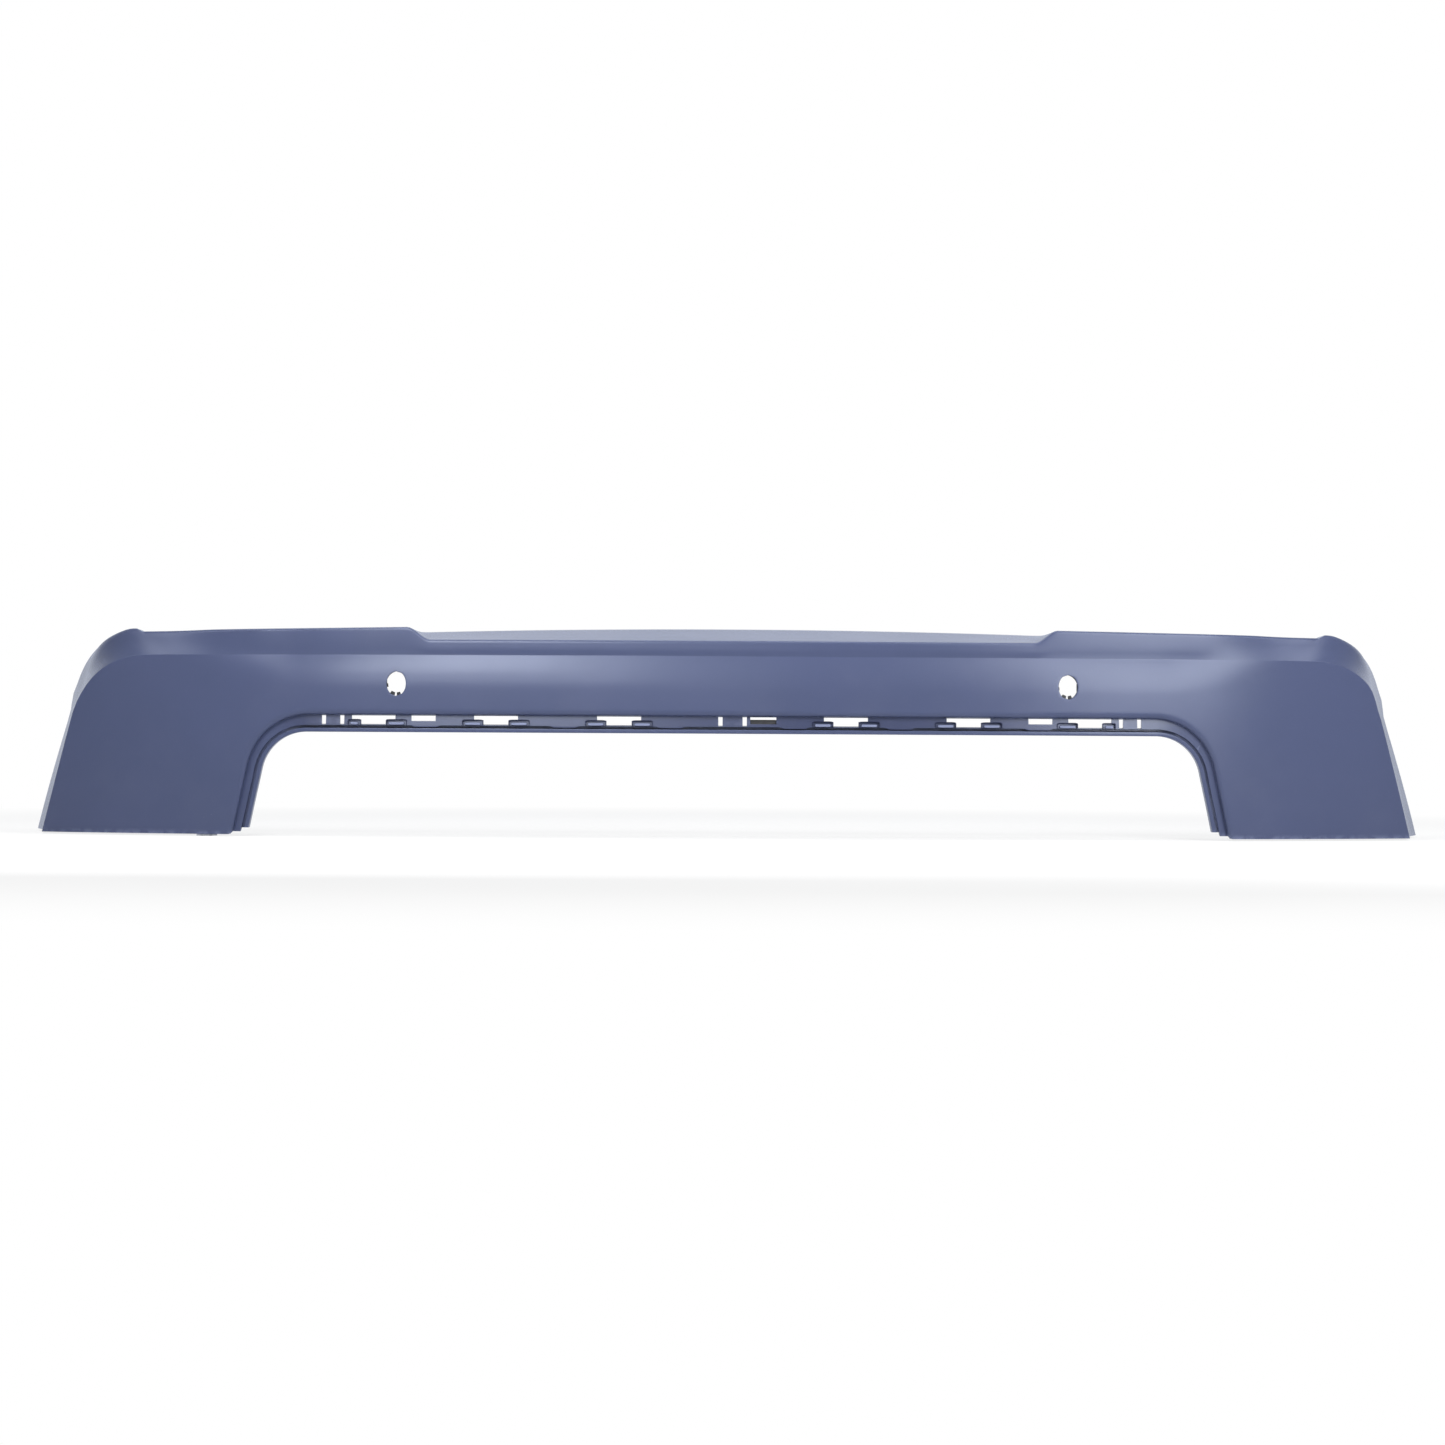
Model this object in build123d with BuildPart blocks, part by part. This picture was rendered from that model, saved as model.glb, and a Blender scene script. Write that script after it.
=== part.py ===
from build123d import *
import math
import os

# Rear bumper cover of a large car: one moulded skin shaped like a wide inverted U, with the
# sensor holders bonded behind it and the clips pressed onto it.
# X runs across the car, -Y is the face that is seen, +Z is up. The sections are drawn with the
# middle of the face at Y 0. At the end every piece moves forward by half the cover's depth, so
# the origin lies under the middle, level with the lowest point. Every length is in millimetres.

# ---- driving dimensions: the moulded skin ------------------------------------------------
wall = 3.0                  # thickness of the moulding
rest_height = 2.5           # the legs' bottom edge above the lowest point, the edge clip

leg_rake = 13.0             # degrees that the leg edges lean outwards going down
lip_foot = 622.0            # half width of the cut-out at the foot of the legs
lip_top = 135.5             # height of the cut-out's top edge
lip_round = 60.0            # corner radius of the cut-out
face_foot = 641.0           # half width to the face's inner edge at the foot
face_bottom = 158.0         # height of the face's lower edge in the beam
face_round = 82.0           # corner radius of the face's inner edge
outer_foot = 938.5          # half width to the wheel arch edge at the foot
side_wall_foot = 49.0       # side wall seen at the foot, from the arch edge to the crease
crease_top = 232.5          # height of the crease in the beam
crease_round = 100.0        # corner radius of the crease
outer_top = 263.0           # height of the top edge at the corner
outer_round = 135.0         # corner radius of the outer edge

bow_radius = 4600.0         # plan radius of the face
corner_start = 450.0        # half width where the face starts to turn faster
corner_span = 440.0         # length of that turn
corner_depth = 38.0         # extra depth at its end
lean_curve = 0.00022        # how fast the face draws in going up and down from its crown
bulge_height = 25.0         # height of the rounded shoulder just under the crease
bulge_depth = 9.0           # how far the crease lies behind the face in the beam
bulge_depth_leg = 2.0       # the same beside the legs' corner crease
bulge_fan = (20.0, 70.0)    # degrees of the corner fan between which it changes over

lip_height = 6.0            # front of the lip
lip_setback = 8.0           # lip front behind the face
lip_return = 22.0           # back edge of the lip behind the face
recess_depth = 14.0         # recessed strip behind the face
recess_draft = 1.0          # slope of the steps into the strip, across the strip
roll_height = 6.0           # height over which the face rolls in
roll_depth = 5.0            # depth at which the roll turns into the step
roll_middle = (2.0, 1.5)    # point of the roll: height above the face's edge, depth
inner_roll = (3.2, 6.5)     # the same inside the moulding
inner_step = 2.4            # height of the step's inner side above the face's edge

crest_height = 252.0        # front edge of the loading shelf
shelf_back_height = 271.0   # back edge of the loading shelf in the middle
shelf_back_fall = 5.0       # how much lower that edge is at the shoulders
shelf_depth = 105.0         # shelf, front to back
shoulder_inner = 385.0      # half width where the shoulders start to rise
shoulder_outer = 415.0      # half width where they reach full height
shoulder_height = 268.5     # top of the shoulders at their inner ends
shoulder_fall = 6.5         # how much lower they are at the corner
band_lean = 2.0             # the band above the crease leans back this far
shoulder_lean = 7.0         # the same over the tall shoulders
shoulder_run_out = 150.0    # the shoulders stop falling this far beyond the corner's pivot
ledge_depth = 62.0          # depth of the hidden ledge behind the corner's top edge
ledge_fall = 3.0            # how much lower the ledge's back edge is
top_flange = 16.0           # flange that turns down behind shelf and ledge
flange_lean = 1.5           # every flange's free edge lies this far behind its fold

arch_depth_foot = 300.0     # wheel arch edge behind the face's middle, at the foot
arch_depth_top = 336.0      # the same at the notch
arch_curve = 1.6            # how the arch edge curves on its way up
arch_flange = 20.0          # flange that turns inwards along the wheel arch
notch_height = 168.0        # notch between the arch edge and the body seam
notch_size = 7.0
seam_curve = 1.25           # how the body seam bends on its way from the notch to the ear
ear_angle = 37.0            # where the body seam ends in the pointed ear, degrees above level
ear_rise = 4.0              # how far the ear's tip stands above the edge beside it
ear_width = 3.0             # its half width in degrees of the corner fan
arch_fan = (20.0, 45.0)     # degrees between which the arch's depth gives way to the ledge's
wall_fan = (18.0, 37.0)     # degrees between which the side wall's flare fades out
wall_swell = 0.36           # share of the side wall's flare reached at its middle bend
wall_bend = 0.42            # share of the side wall's depth at that bend

foot_flange = 24.0          # ledge that turns inwards along the legs' bottom edge
foot_ledge_gap = 4.0        # the ledge's ends inside the face's edges
foot_ledge_steps = 6        # straight lengths of the ledge's curved front edge

# ---- driving dimensions: slots, catches and holes ----------------------------------------
slot_centres = (144.0, 300.5, 457.0)        # wide slots, each side of the middle
slot_width = 56.0
slot_height = 5.0
slot_mouth_width = 32.0                     # lower, narrower part of a wide slot
slot_mouth_height = 6.5
strip_top_gap = 0.6                         # strip left above the slots
catch_width = 27.0                          # hook at each lower end of a wide slot
catch_width_short = 17.0                    # the outermost hooks, beside a slit
catch_height = 8.0
catch_depth = 5.0                           # how far a hook stands out of the strip
catch_round = 2.0
window_centre = 393.0                       # plain rectangular windows
window_width = 31.0
window_height = 6.5
slit_centres = (15.4, 497.4, 521.0)         # narrow upright slits
slit_width = 5.4
slit_height = 12.0
clip_slot_centre = 39.0                     # slot of the middle clip, right of the middle
clip_slot_width = 33.0
clip_slot_height = 10.5
dip_centres = (78.7, 212.9, 390.0)          # dips in the lip's top edge beside the slots
dip_width = 30.0
dip_depth = 1.6
dip_side_angle = 50.0

sensor_offset = 427.5
sensor_height = 196.0
sensor_hole_width = 24.5
sensor_hole_height = 31.5

fixing_hole_radius = 3.0
fixing_drop = 9.0                           # shelf flange holes below the flange's top
top_fixing_offsets = (150.0, 330.0)
arch_fixing_heights = (45.0, 105.0)
arch_fixing_inset = 12.0                    # arch flange holes in from the flange's fold
foot_fixing_inset = 34.5                    # foot holes outside the face's inner edge
foot_fixing_setback = 15.0                  # foot holes behind the face

# ---- driving dimensions: sensor holders and clips ----------------------------------------
seat_clearance = 0.3
tape_thickness = 1.0
tape_width = 14.0
tape_height = 28.0
tape_round = 2.0
tape_inset = 1.0                            # tape inside the plate's end
plate_width = 72.0
plate_height = 34.0
plate_drop = 5.0                            # plate's middle below the collar's middle
plate_thickness = 2.5
plate_round = 6.0
collar_radius = 16.2
collar_wall = 2.2
collar_length = 15.0
collar_step = 0.3                           # the plate's hole is this much wider all round
lug_angles = ((178.0, 200.0), (236.0, 260.0), (272.0, 292.0))
lug_reach = 5.0                             # stops that the sensor's shoulder rests on
lug_length = 2.2
latch_width = 10.0
latch_thickness = 1.6
latch_length = 21.0
latch_hook = 2.6
latch_hook_length = 3.0
latch_hook_lead = 0.4                       # slope of the hook's holding face
latch_root_radius = 1.2

clip_body_height = 6.0
clip_body_depth = 16.0
clip_front = 4.0                            # how far the middle clip stands out of the strip
clip_ear = 3.0
clip_ear_gap = 0.5                          # between the clip's ears and the strip's back
clip_ear_thickness = 2.0
nut_width = 20.0
nut_block = 2.2                             # threaded lower leg of the edge clip
nut_leg = 1.2                               # plain upper leg
nut_bend = 1.2
nut_front = 10.0                            # nut's front edge ahead of its thread
nut_thread_radius = 2.1
nut_clearance = 0.3

rake = math.tan(math.radians(leg_rake))
crease_foot = outer_foot - side_wall_foot
cover_depth = arch_depth_top + flange_lean
tiny = 1e-9


# ---- the lines of the cover in front view ------------------------------------------------
def bow(x):
    """Depth of the face at half width x: a wide arc that turns faster near the corner."""
    depth = x * x / (2 * bow_radius)
    past = max(0.0, abs(x) - corner_start)
    return depth + corner_depth * (past / corner_span) ** 3


def face_depth(x, z):
    """Depth of the face at a point of the front view, without the rounding at the crease."""
    below = crease_top - bulge_height - z
    return bow(x) + lean_curve * below * below


def ray_to_outline(origin, direction, foot, top, radius):
    """Distance from origin, along direction, to a line-arc-line outline.

    The outline climbs from the foot along the raked leg, rounds the corner and runs level."""
    half_angle = math.radians(90 + leg_rake) / 2
    tangent = radius / math.tan(half_angle)
    corner_x = foot - (top - rest_height) * rake
    centre_x = corner_x - tangent
    centre_z = top - radius
    ox, oz = origin
    dx, dz = direction
    leg_hit = math.inf
    across = dx + dz * rake
    if across > tiny:
        leg_hit = (foot - (oz - rest_height) * rake - ox) / across
    top_hit = math.inf
    if dz > tiny:
        top_hit = (top - oz) / dz
    if top_hit <= leg_hit and ox + dx * top_hit <= centre_x:
        return top_hit
    leg_tangent_z = centre_z + radius * math.sin(math.radians(leg_rake))
    if leg_hit <= top_hit and oz + dz * leg_hit <= leg_tangent_z:
        return leg_hit
    fx = ox - centre_x
    fz = oz - centre_z
    b = fx * dx + fz * dz
    return -b + math.sqrt(b * b - (fx * fx + fz * fz - radius * radius))


def arch_depth(z):
    """Depth of the wheel arch edge at height z: it curves away from the face going up."""
    climb = (z - rest_height) / (notch_height - rest_height)
    return arch_depth_foot + (arch_depth_top - arch_depth_foot) * climb ** arch_curve


def smooth(value, start, end):
    """Smooth step from 0 at start to 1 at end."""
    t = min(1.0, max(0.0, (value - start) / (end - start)))
    return t * t * (3 - 2 * t)


# Where a section has points on the face, as shares of its two parts, and where it is level.
face_shares = (0.3, 0.55, 0.8, 1.0)
bulge_shares = (0.4, 0.72)
level_angle = 80.0

# The corner is a fan of sections about the centre of the cut-out's rounded corner.
half_corner = math.radians(90 + leg_rake) / 2
pivot_x = lip_foot - (lip_top - rest_height) * rake - lip_round / math.tan(half_corner)
pivot_z = lip_top - lip_round


def offset_inwards(points, distance):
    """Mitred parallel of an open run of points, on its left hand side."""
    normals = []
    for (ax, ay), (bx, by) in zip(points[:-1], points[1:]):
        length = math.hypot(bx - ax, by - ay)
        normals.append((-(by - ay) / length, (bx - ax) / length))
    moved = []
    for i, (px, py) in enumerate(points):
        first = normals[max(0, i - 1)]
        second = normals[min(len(normals) - 1, i)]
        nx = first[0] + second[0]
        ny = first[1] + second[1]
        scale = 2 / (nx * nx + ny * ny)
        moved.append((px + nx * scale * distance, py + ny * scale * distance))
    return moved


def wall_section(origin, direction, shoulder):
    """Closed outline of the moulding in one section plane, as (radius, depth) points.

    origin and direction give the plane's line in the front view; shoulder runs from 0 at the
    loading shelf to 1 at the raised shoulders and beyond."""
    ox, oz = origin
    dx, dz = direction
    lip = ray_to_outline(origin, direction, lip_foot, lip_top, lip_round)
    edge = ray_to_outline(origin, direction, face_foot, face_bottom, face_round)
    crease = ray_to_outline(origin, direction, crease_foot, crease_top, crease_round)
    outer = ray_to_outline(origin, direction, outer_foot, outer_top, outer_round)
    angle = math.degrees(math.atan2(dz, dx))
    side = 1 - smooth(angle, *arch_fan)
    wall_side = 1 - smooth(angle, *wall_fan)

    def depth_at(radius):
        return face_depth(ox + dx * radius, oz + dz * radius)

    edge_depth = depth_at(edge)
    roll = edge + roll_height
    shoulder_edge = crease - bulge_height
    swell = bulge_depth_leg + (bulge_depth - bulge_depth_leg) * smooth(angle, *bulge_fan)
    crease_depth = depth_at(crease) + swell
    face = [(roll, depth_at(roll))]
    for share in face_shares:
        radius = roll + share * (shoulder_edge - roll)
        face.append((radius, depth_at(radius)))
    for share in bulge_shares:
        radius = shoulder_edge + share * bulge_height
        face.append((radius, depth_at(radius) + swell * share * share))

    # top edge of the band, then the shelf, ledge or side wall behind it
    shelf_back = shelf_back_height - shelf_back_fall * (ox / shoulder_inner) ** 2
    along = max(0.0, ox + dx * outer - shoulder_outer)
    fall_span = pivot_x - shoulder_outer + shoulder_run_out
    raised = shoulder_height - shoulder_fall * min(1.0, along / fall_span)
    top_line = min(oz + dz * outer, outer_top)
    if dx < tiny:
        crest = crest_height + (raised - crest_height) * shoulder - oz
        crest_depth = crease_depth + band_lean + (shoulder_lean - band_lean) * shoulder
        back = shelf_back + (raised - ledge_fall - shelf_back) * shoulder - oz
        reach = shelf_depth + (ledge_depth - shelf_depth) * smooth(ox, shoulder_outer, pivot_x)
        back_depth = crease_depth + reach
    else:
        lift = (raised - outer_top) * smooth(angle, ear_angle, level_angle)
        lift += ear_rise * math.exp(-(((angle - ear_angle) / ear_width) ** 2))
        end = outer + lift
        flare = wall_swell * wall_side + (1 - wall_side)
        crest = crease + (end - crease) * flare
        seam = max(0.0, top_line - notch_height) / (outer_top - notch_height)
        arch = arch_depth(min(top_line, notch_height))
        arch += (crease_depth + ledge_depth - arch) * seam ** seam_curve
        back_depth = arch * side + (crease_depth + ledge_depth) * (1 - side)
        crest_depth = crease_depth + shoulder_lean + wall_bend * (arch - crease_depth) * side
        back = end - ledge_fall * (1 - side)

    outside = [
        (lip, edge_depth + lip_return),
        (lip, edge_depth + lip_setback),
        (lip + lip_height, edge_depth + lip_setback),
        (lip + lip_height + recess_draft, edge_depth + recess_depth),
        (edge - recess_draft, edge_depth + recess_depth),
        (edge, edge_depth + roll_depth),
        (edge + roll_middle[0], edge_depth + roll_middle[1]),
    ]
    flange = arch_flange * side + top_flange * (1 - side)
    skin = face + [
        (crease, crease_depth),
        (crest, crest_depth),
        (back, back_depth),
        (back - flange, back_depth + flange_lean),
    ]
    inner_skin = offset_inwards(skin, wall)
    inside = [
        (edge + inner_roll[0], edge_depth + inner_roll[1]),
        (edge + inner_step, edge_depth + recess_depth + wall),
        (lip + wall, edge_depth + recess_depth + wall),
        (lip + wall, edge_depth + lip_return),
    ]
    return outside + skin + inner_skin[::-1] + inside


def beam_station(x):
    return ((x, 0.0), (0.0, 1.0), smooth(x, shoulder_inner, shoulder_outer))


def fan_station(angle):
    turn = math.radians(angle)
    return ((pivot_x, pivot_z), (math.cos(turn), math.sin(turn)), 1.0)


def fan_between(start, end, shares):
    return [fan_station(start + (end - start) * share) for share in shares]


def leg_station(height):
    return ((pivot_x, height), (1.0, 0.0), 1.0)


# Each run of sections is lofted by itself, and neighbours share their end section.
shelf_run = [beam_station(shoulder_inner * share) for share in (0.0, 0.37, 0.7, 1.0)]
step_run = [beam_station(x) for x in (shoulder_inner, shoulder_outer)]
corner_gap = pivot_x - shoulder_outer
shoulder_run = [beam_station(shoulder_outer + corner_gap * share) for share in (0.0, 0.35, 0.66, 1.0)]
notch_reach = outer_foot - (notch_height - rest_height) * rake - pivot_x
notch_angle = math.degrees(math.atan2(notch_height - pivot_z, notch_reach))
corner_run = fan_between(90.0, ear_angle, (0.0, 0.23, 0.45, 0.68, 0.83, 0.92, 1.0))
seam_run = fan_between(ear_angle, notch_angle, (0.0, 0.18, 0.36, 0.58, 0.8, 1.0))
arch_run = fan_between(notch_angle, 0.0, (0.0, 0.31, 0.65, 1.0))
leg_run = [leg_station(z) for z in (pivot_z, (pivot_z + rest_height) / 2, rest_height)]
runs = (shelf_run, step_run, shoulder_run, corner_run, seam_run, arch_run, leg_run)


def loft_run(stations):
    """One lofted length of the moulding, built from its sections."""
    with BuildPart() as length:
        for origin, direction, shoulder in stations:
            place = Plane(
                origin=(origin[0], 0, origin[1]),
                x_dir=(direction[0], 0, direction[1]),
                z_dir=(-direction[1], 0, direction[0]),
            )
            with BuildSketch(place):
                with BuildLine():
                    Polyline(*wall_section(origin, direction, shoulder), close=True)
                make_face()
        loft(ruled=len(stations) == 2)
    return length.part


def strip_front(x):
    """Depth of the recessed strip's front face at x."""
    return face_depth(x, face_bottom) + recess_depth


def front_plane(x, depth, z):
    """Plane seen from the front, at one point of the cover: X right, Y up."""
    return Plane(origin=(x, depth, z), x_dir=(1, 0, 0), z_dir=(0, -1, 0))


def seat_plane(side):
    """Plane on the skin's inner face behind a sensor hole, facing out through the skin."""
    x = side * sensor_offset
    turn = math.atan(x / bow_radius)
    depth = face_depth(x, sensor_height) + wall / math.cos(turn)
    across = (math.cos(turn), math.sin(turn), 0)
    outwards = (math.sin(turn), -math.cos(turn), 0)
    return Plane(origin=(x, depth, sensor_height), x_dir=across, z_dir=outwards)


slot_top = face_bottom - recess_draft - strip_top_gap
catch_top = slot_top - slot_height
strip_cut = recess_depth / 2                # cutters reach this far each side of the strip


def strip_windows():
    """Every opening through the recessed strip, as (middle, width, top, height)."""
    windows = [(clip_slot_centre, clip_slot_width, slot_top, clip_slot_height)]
    for side in (-1, 1):
        for centre in slot_centres:
            windows.append((side * centre, slot_width, slot_top, slot_height))
            windows.append((side * centre, slot_mouth_width, catch_top, slot_mouth_height))
        windows.append((side * window_centre, window_width, slot_top, window_height))
        for centre in slit_centres:
            windows.append((side * centre, slit_width, slot_top, slit_height))
    return windows


def strip_catches():
    """Every hook at the lower ends of the wide slots, as (middle, width)."""
    catches = []
    for side in (-1, 1):
        for centre in slot_centres:
            for end in (-1, 1):
                outermost = centre == slot_centres[-1] and end == side
                width = catch_width_short if outermost else catch_width
                reach = slot_mouth_width / 2 + width / 2
                catches.append((side * centre + end * reach, width))
    return catches


def fixing_point(x):
    """Centre of a hole through the flange behind the loading shelf."""
    crease_depth = face_depth(x, crease_top) + bulge_depth + band_lean
    height = shelf_back_height - shelf_back_fall * (x / shoulder_inner) ** 2 - fixing_drop
    return (x, crease_depth + shelf_depth - band_lean, height)


def arch_point(side, z):
    """Centre of a hole through the wheel arch flange."""
    fold = outer_foot - (z - rest_height) * rake
    return (side * (fold - arch_fixing_inset), arch_depth(z), z)


def foot_point(side):
    """Centre of the hole through the ledge at the foot of a leg."""
    x = face_foot + foot_fixing_inset
    return (side * x, face_depth(x, rest_height) + foot_fixing_setback, rest_height)


# ---- the cover ----------------------------------------------------------------------------
with BuildPart() as half_cover:
    for run in runs:
        add(loft_run(run))
    # ledge that closes the foot of the leg
    with BuildSketch(Plane.XY.offset(rest_height)):
        with BuildLine():
            start = face_foot + foot_ledge_gap
            step = (crease_foot - foot_ledge_gap - start) / foot_ledge_steps
            across = [start + step * i for i in range(foot_ledge_steps + 1)]
            front_edge = [(x, face_depth(x, rest_height) + wall / 2) for x in across]
            back_edge = [(x, y + foot_flange) for x, y in front_edge]
            Polyline(*front_edge, *back_edge[::-1], close=True)
        make_face()
    extrude(amount=wall)

with BuildPart() as catches:
    for x, width in strip_catches():
        with BuildSketch(front_plane(x, strip_front(x) + wall, catch_top - catch_height / 2)):
            RectangleRounded(width, catch_height, catch_round)
        extrude(amount=catch_depth + wall)

with BuildPart() as openings:
    for x, width, top, height in strip_windows():
        with BuildSketch(front_plane(x, strip_front(x), top - height / 2)):
            Rectangle(width, height)
        extrude(amount=strip_cut, both=True)
    for side in (-1, 1):
        for centre in dip_centres:
            x = side * centre
            middle = lip_top + lip_height + (recess_draft - dip_depth) / 2
            with BuildSketch(front_plane(x, strip_front(x), middle)):
                with Locations(Rotation(0, 0, 180)):
                    Trapezoid(dip_width, dip_depth + recess_draft, dip_side_angle)
            extrude(amount=recess_depth)
        with BuildSketch(seat_plane(side)):
            Ellipse(sensor_hole_width / 2, sensor_hole_height / 2)
        extrude(amount=2 * wall, both=True)
        for offset in top_fixing_offsets:
            with BuildSketch(front_plane(*fixing_point(side * offset))):
                Circle(fixing_hole_radius)
            extrude(amount=2 * wall, both=True)
        for height in arch_fixing_heights:
            with BuildSketch(front_plane(*arch_point(side, height))):
                Circle(fixing_hole_radius)
            extrude(amount=3 * wall, both=True)
        with BuildSketch(Plane(foot_point(side))):
            Circle(fixing_hole_radius)
        extrude(amount=2 * wall, both=True)
        notch_x = side * (outer_foot - (notch_height - rest_height) * rake)
        with Locations((notch_x, arch_depth_top, notch_height)):
            Box(notch_size, 2 * notch_size, notch_size)

with BuildPart() as cover_shell:
    add(half_cover.part)
    mirror(about=Plane.YZ)
    add(openings.part, mode=Mode.SUBTRACT)
    add(catches.part)


# ---- sensor holders -----------------------------------------------------------------------
plate_front = seat_clearance + tape_thickness      # behind the skin's inner face
plate_back = plate_front + plate_thickness
latch_root = plate_back + seat_clearance + latch_root_radius
latch_centre = collar_radius + latch_hook + latch_thickness / 2
latch_slot = latch_width + 2 * seat_clearance


def lug_outline(start, end):
    """Ring segment that stands inwards from the collar, between two angles."""
    inner = collar_radius - lug_reach
    outer = collar_radius + collar_wall / 2
    points = []
    for radius, angle in ((inner, start), (outer, start), (outer, end), (inner, end)):
        turn = math.radians(angle)
        points.append((radius * math.cos(turn), radius * math.sin(turn)))
    return points


def build_bracket(side):
    """Moulded holder: plate, round collar with three stops and two gaps for the latches."""
    seat = seat_plane(side)
    with BuildPart() as bracket:
        with BuildSketch(seat.offset(-plate_front)):
            with Locations((0, -plate_drop)):
                RectangleRounded(plate_width, plate_height, plate_round)
            Circle(collar_radius + collar_wall)
            Circle(collar_radius + collar_step, mode=Mode.SUBTRACT)
        extrude(amount=-plate_thickness)
        with BuildSketch(seat.offset(-plate_back)):
            Circle(collar_radius + collar_wall)
            Circle(collar_radius, mode=Mode.SUBTRACT)
            Rectangle(3 * collar_radius, latch_slot, mode=Mode.SUBTRACT)
        extrude(amount=-collar_length)
        with BuildSketch(seat.offset(-plate_front)):
            for start, end in lug_angles:
                with BuildLine():
                    Polyline(*lug_outline(start, end), close=True)
                make_face()
        extrude(amount=-lug_length)
    return bracket.part


def build_tape(side):
    """Two pads of double-sided foam tape between the skin and the holder's plate."""
    seat = seat_plane(side)
    pad_x = (plate_width - tape_width) / 2 - tape_inset
    with BuildPart() as tape:
        with BuildSketch(seat.offset(-seat_clearance)):
            with Locations((-pad_x, -plate_drop), (pad_x, -plate_drop)):
                RectangleRounded(tape_width, tape_height, tape_round)
        extrude(amount=-tape_thickness)
    return tape.part


def build_latch(side, end):
    """Sprung tongue beside the collar, with a rounded root and a hook at its tip."""
    seat = seat_plane(side)
    level = Plane(origin=seat.origin, x_dir=seat.x_dir, z_dir=(0, 0, 1))
    inner = end * (latch_centre - latch_thickness / 2)
    outer = end * (latch_centre + latch_thickness / 2)
    tip = latch_root + latch_length
    hook_start = tip - latch_hook_length
    hook = inner - end * latch_hook
    with BuildPart() as latch:
        with BuildSketch(level.offset(-latch_width / 2)):
            with Locations((end * latch_centre, latch_root)):
                Circle(latch_root_radius)
            with BuildLine():
                Polyline(
                    (inner, latch_root),
                    (inner, hook_start),
                    (hook, hook_start + latch_hook_lead),
                    (inner, tip),
                    (outer, tip),
                    (outer, latch_root),
                    close=True,
                )
            make_face()
        extrude(amount=latch_width)
    return latch.part


# ---- clips --------------------------------------------------------------------------------
clip_top = slot_top - clip_slot_height + seat_clearance + clip_body_height
clip_middle = clip_top - clip_body_height / 2
clip_width = clip_slot_width - 2 * seat_clearance
clip_depth = strip_front(clip_slot_centre)

with BuildPart() as centre_clip:
    with BuildSketch(front_plane(clip_slot_centre, clip_depth - clip_front, clip_middle)):
        Rectangle(clip_width, clip_body_height)
    extrude(amount=-clip_body_depth)
    front_edges = centre_clip.edges().filter_by(Axis.X).group_by(Axis.Y)[0]
    chamfer(front_edges.sort_by(Axis.Z)[-1], clip_body_height / 4)
    ear_depth = clip_depth + wall + clip_ear_gap
    with BuildSketch(front_plane(clip_slot_centre, ear_depth, clip_middle)):
        Rectangle(clip_width + 2 * clip_ear, clip_body_height)
    extrude(amount=-clip_ear_thickness)

# The edge clip is turned to lie square to the leg's ledge, whose edge follows the bow.
nut_x, nut_y, ledge_height = foot_point(-1)
ledge_turn = math.atan(bow(nut_x - 0.5) - bow(nut_x + 0.5))
inwards = (math.sin(ledge_turn), math.cos(ledge_turn), 0)
along_ledge = (math.cos(ledge_turn), -math.sin(ledge_turn), 0)
nut_back = (foot_flange + wall / 2 - foot_fixing_setback) * math.cos(ledge_turn) + nut_clearance
nut_lower = ledge_height - nut_clearance
nut_upper = ledge_height + wall + nut_clearance

with BuildPart() as edge_clip:
    with BuildSketch(Plane(origin=(nut_x, nut_y, 0), x_dir=inwards, z_dir=along_ledge)):
        with BuildLine():
            Polyline(
                (-nut_front, nut_lower - nut_block),
                (nut_back + nut_bend, nut_lower - nut_block),
                (nut_back + nut_bend, nut_upper + nut_leg),
                (nut_bend - nut_front, nut_upper + nut_leg),
                (nut_bend - nut_front, nut_upper),
                (nut_back, nut_upper),
                (nut_back, nut_lower),
                (-nut_front, nut_lower),
                close=True,
            )
        make_face()
    extrude(amount=nut_width / 2, both=True)
    with BuildSketch(Plane((nut_x, nut_y, 0))):
        Circle(nut_thread_radius)
    extrude(amount=nut_lower, mode=Mode.SUBTRACT)
    with BuildSketch(Plane((nut_x, nut_y, nut_upper))):
        Circle(fixing_hole_radius)
    extrude(amount=nut_leg, mode=Mode.SUBTRACT)

# ---- every piece to its own file ----------------------------------------------------------
pieces = {
    "cover_shell": cover_shell.part,
    "centre_clip": centre_clip.part,
    "edge_clip": edge_clip.part,
}
for side, name in ((-1, "left"), (1, "right")):
    pieces[f"sensor_bracket_{name}"] = build_bracket(side)
    pieces[f"sensor_tape_{name}"] = build_tape(side)
    pieces[f"sensor_latch_{name}_inner"] = build_latch(side, -side)
    pieces[f"sensor_latch_{name}_outer"] = build_latch(side, side)

os.makedirs("parts", exist_ok=True)
forward = Location((0, -cover_depth / 2, 0))
for name, piece in pieces.items():
    placed = piece.moved(forward)
    placed.label = name
    export_step(placed, f"parts/{name}.step")
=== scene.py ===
import math

import bmesh
import bpy
import numpy as np
from bpy.props import FloatProperty, FloatVectorProperty, PointerProperty
from bpy.types import Operator, Panel, PropertyGroup
from mathutils import Color, Matrix, Vector


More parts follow.
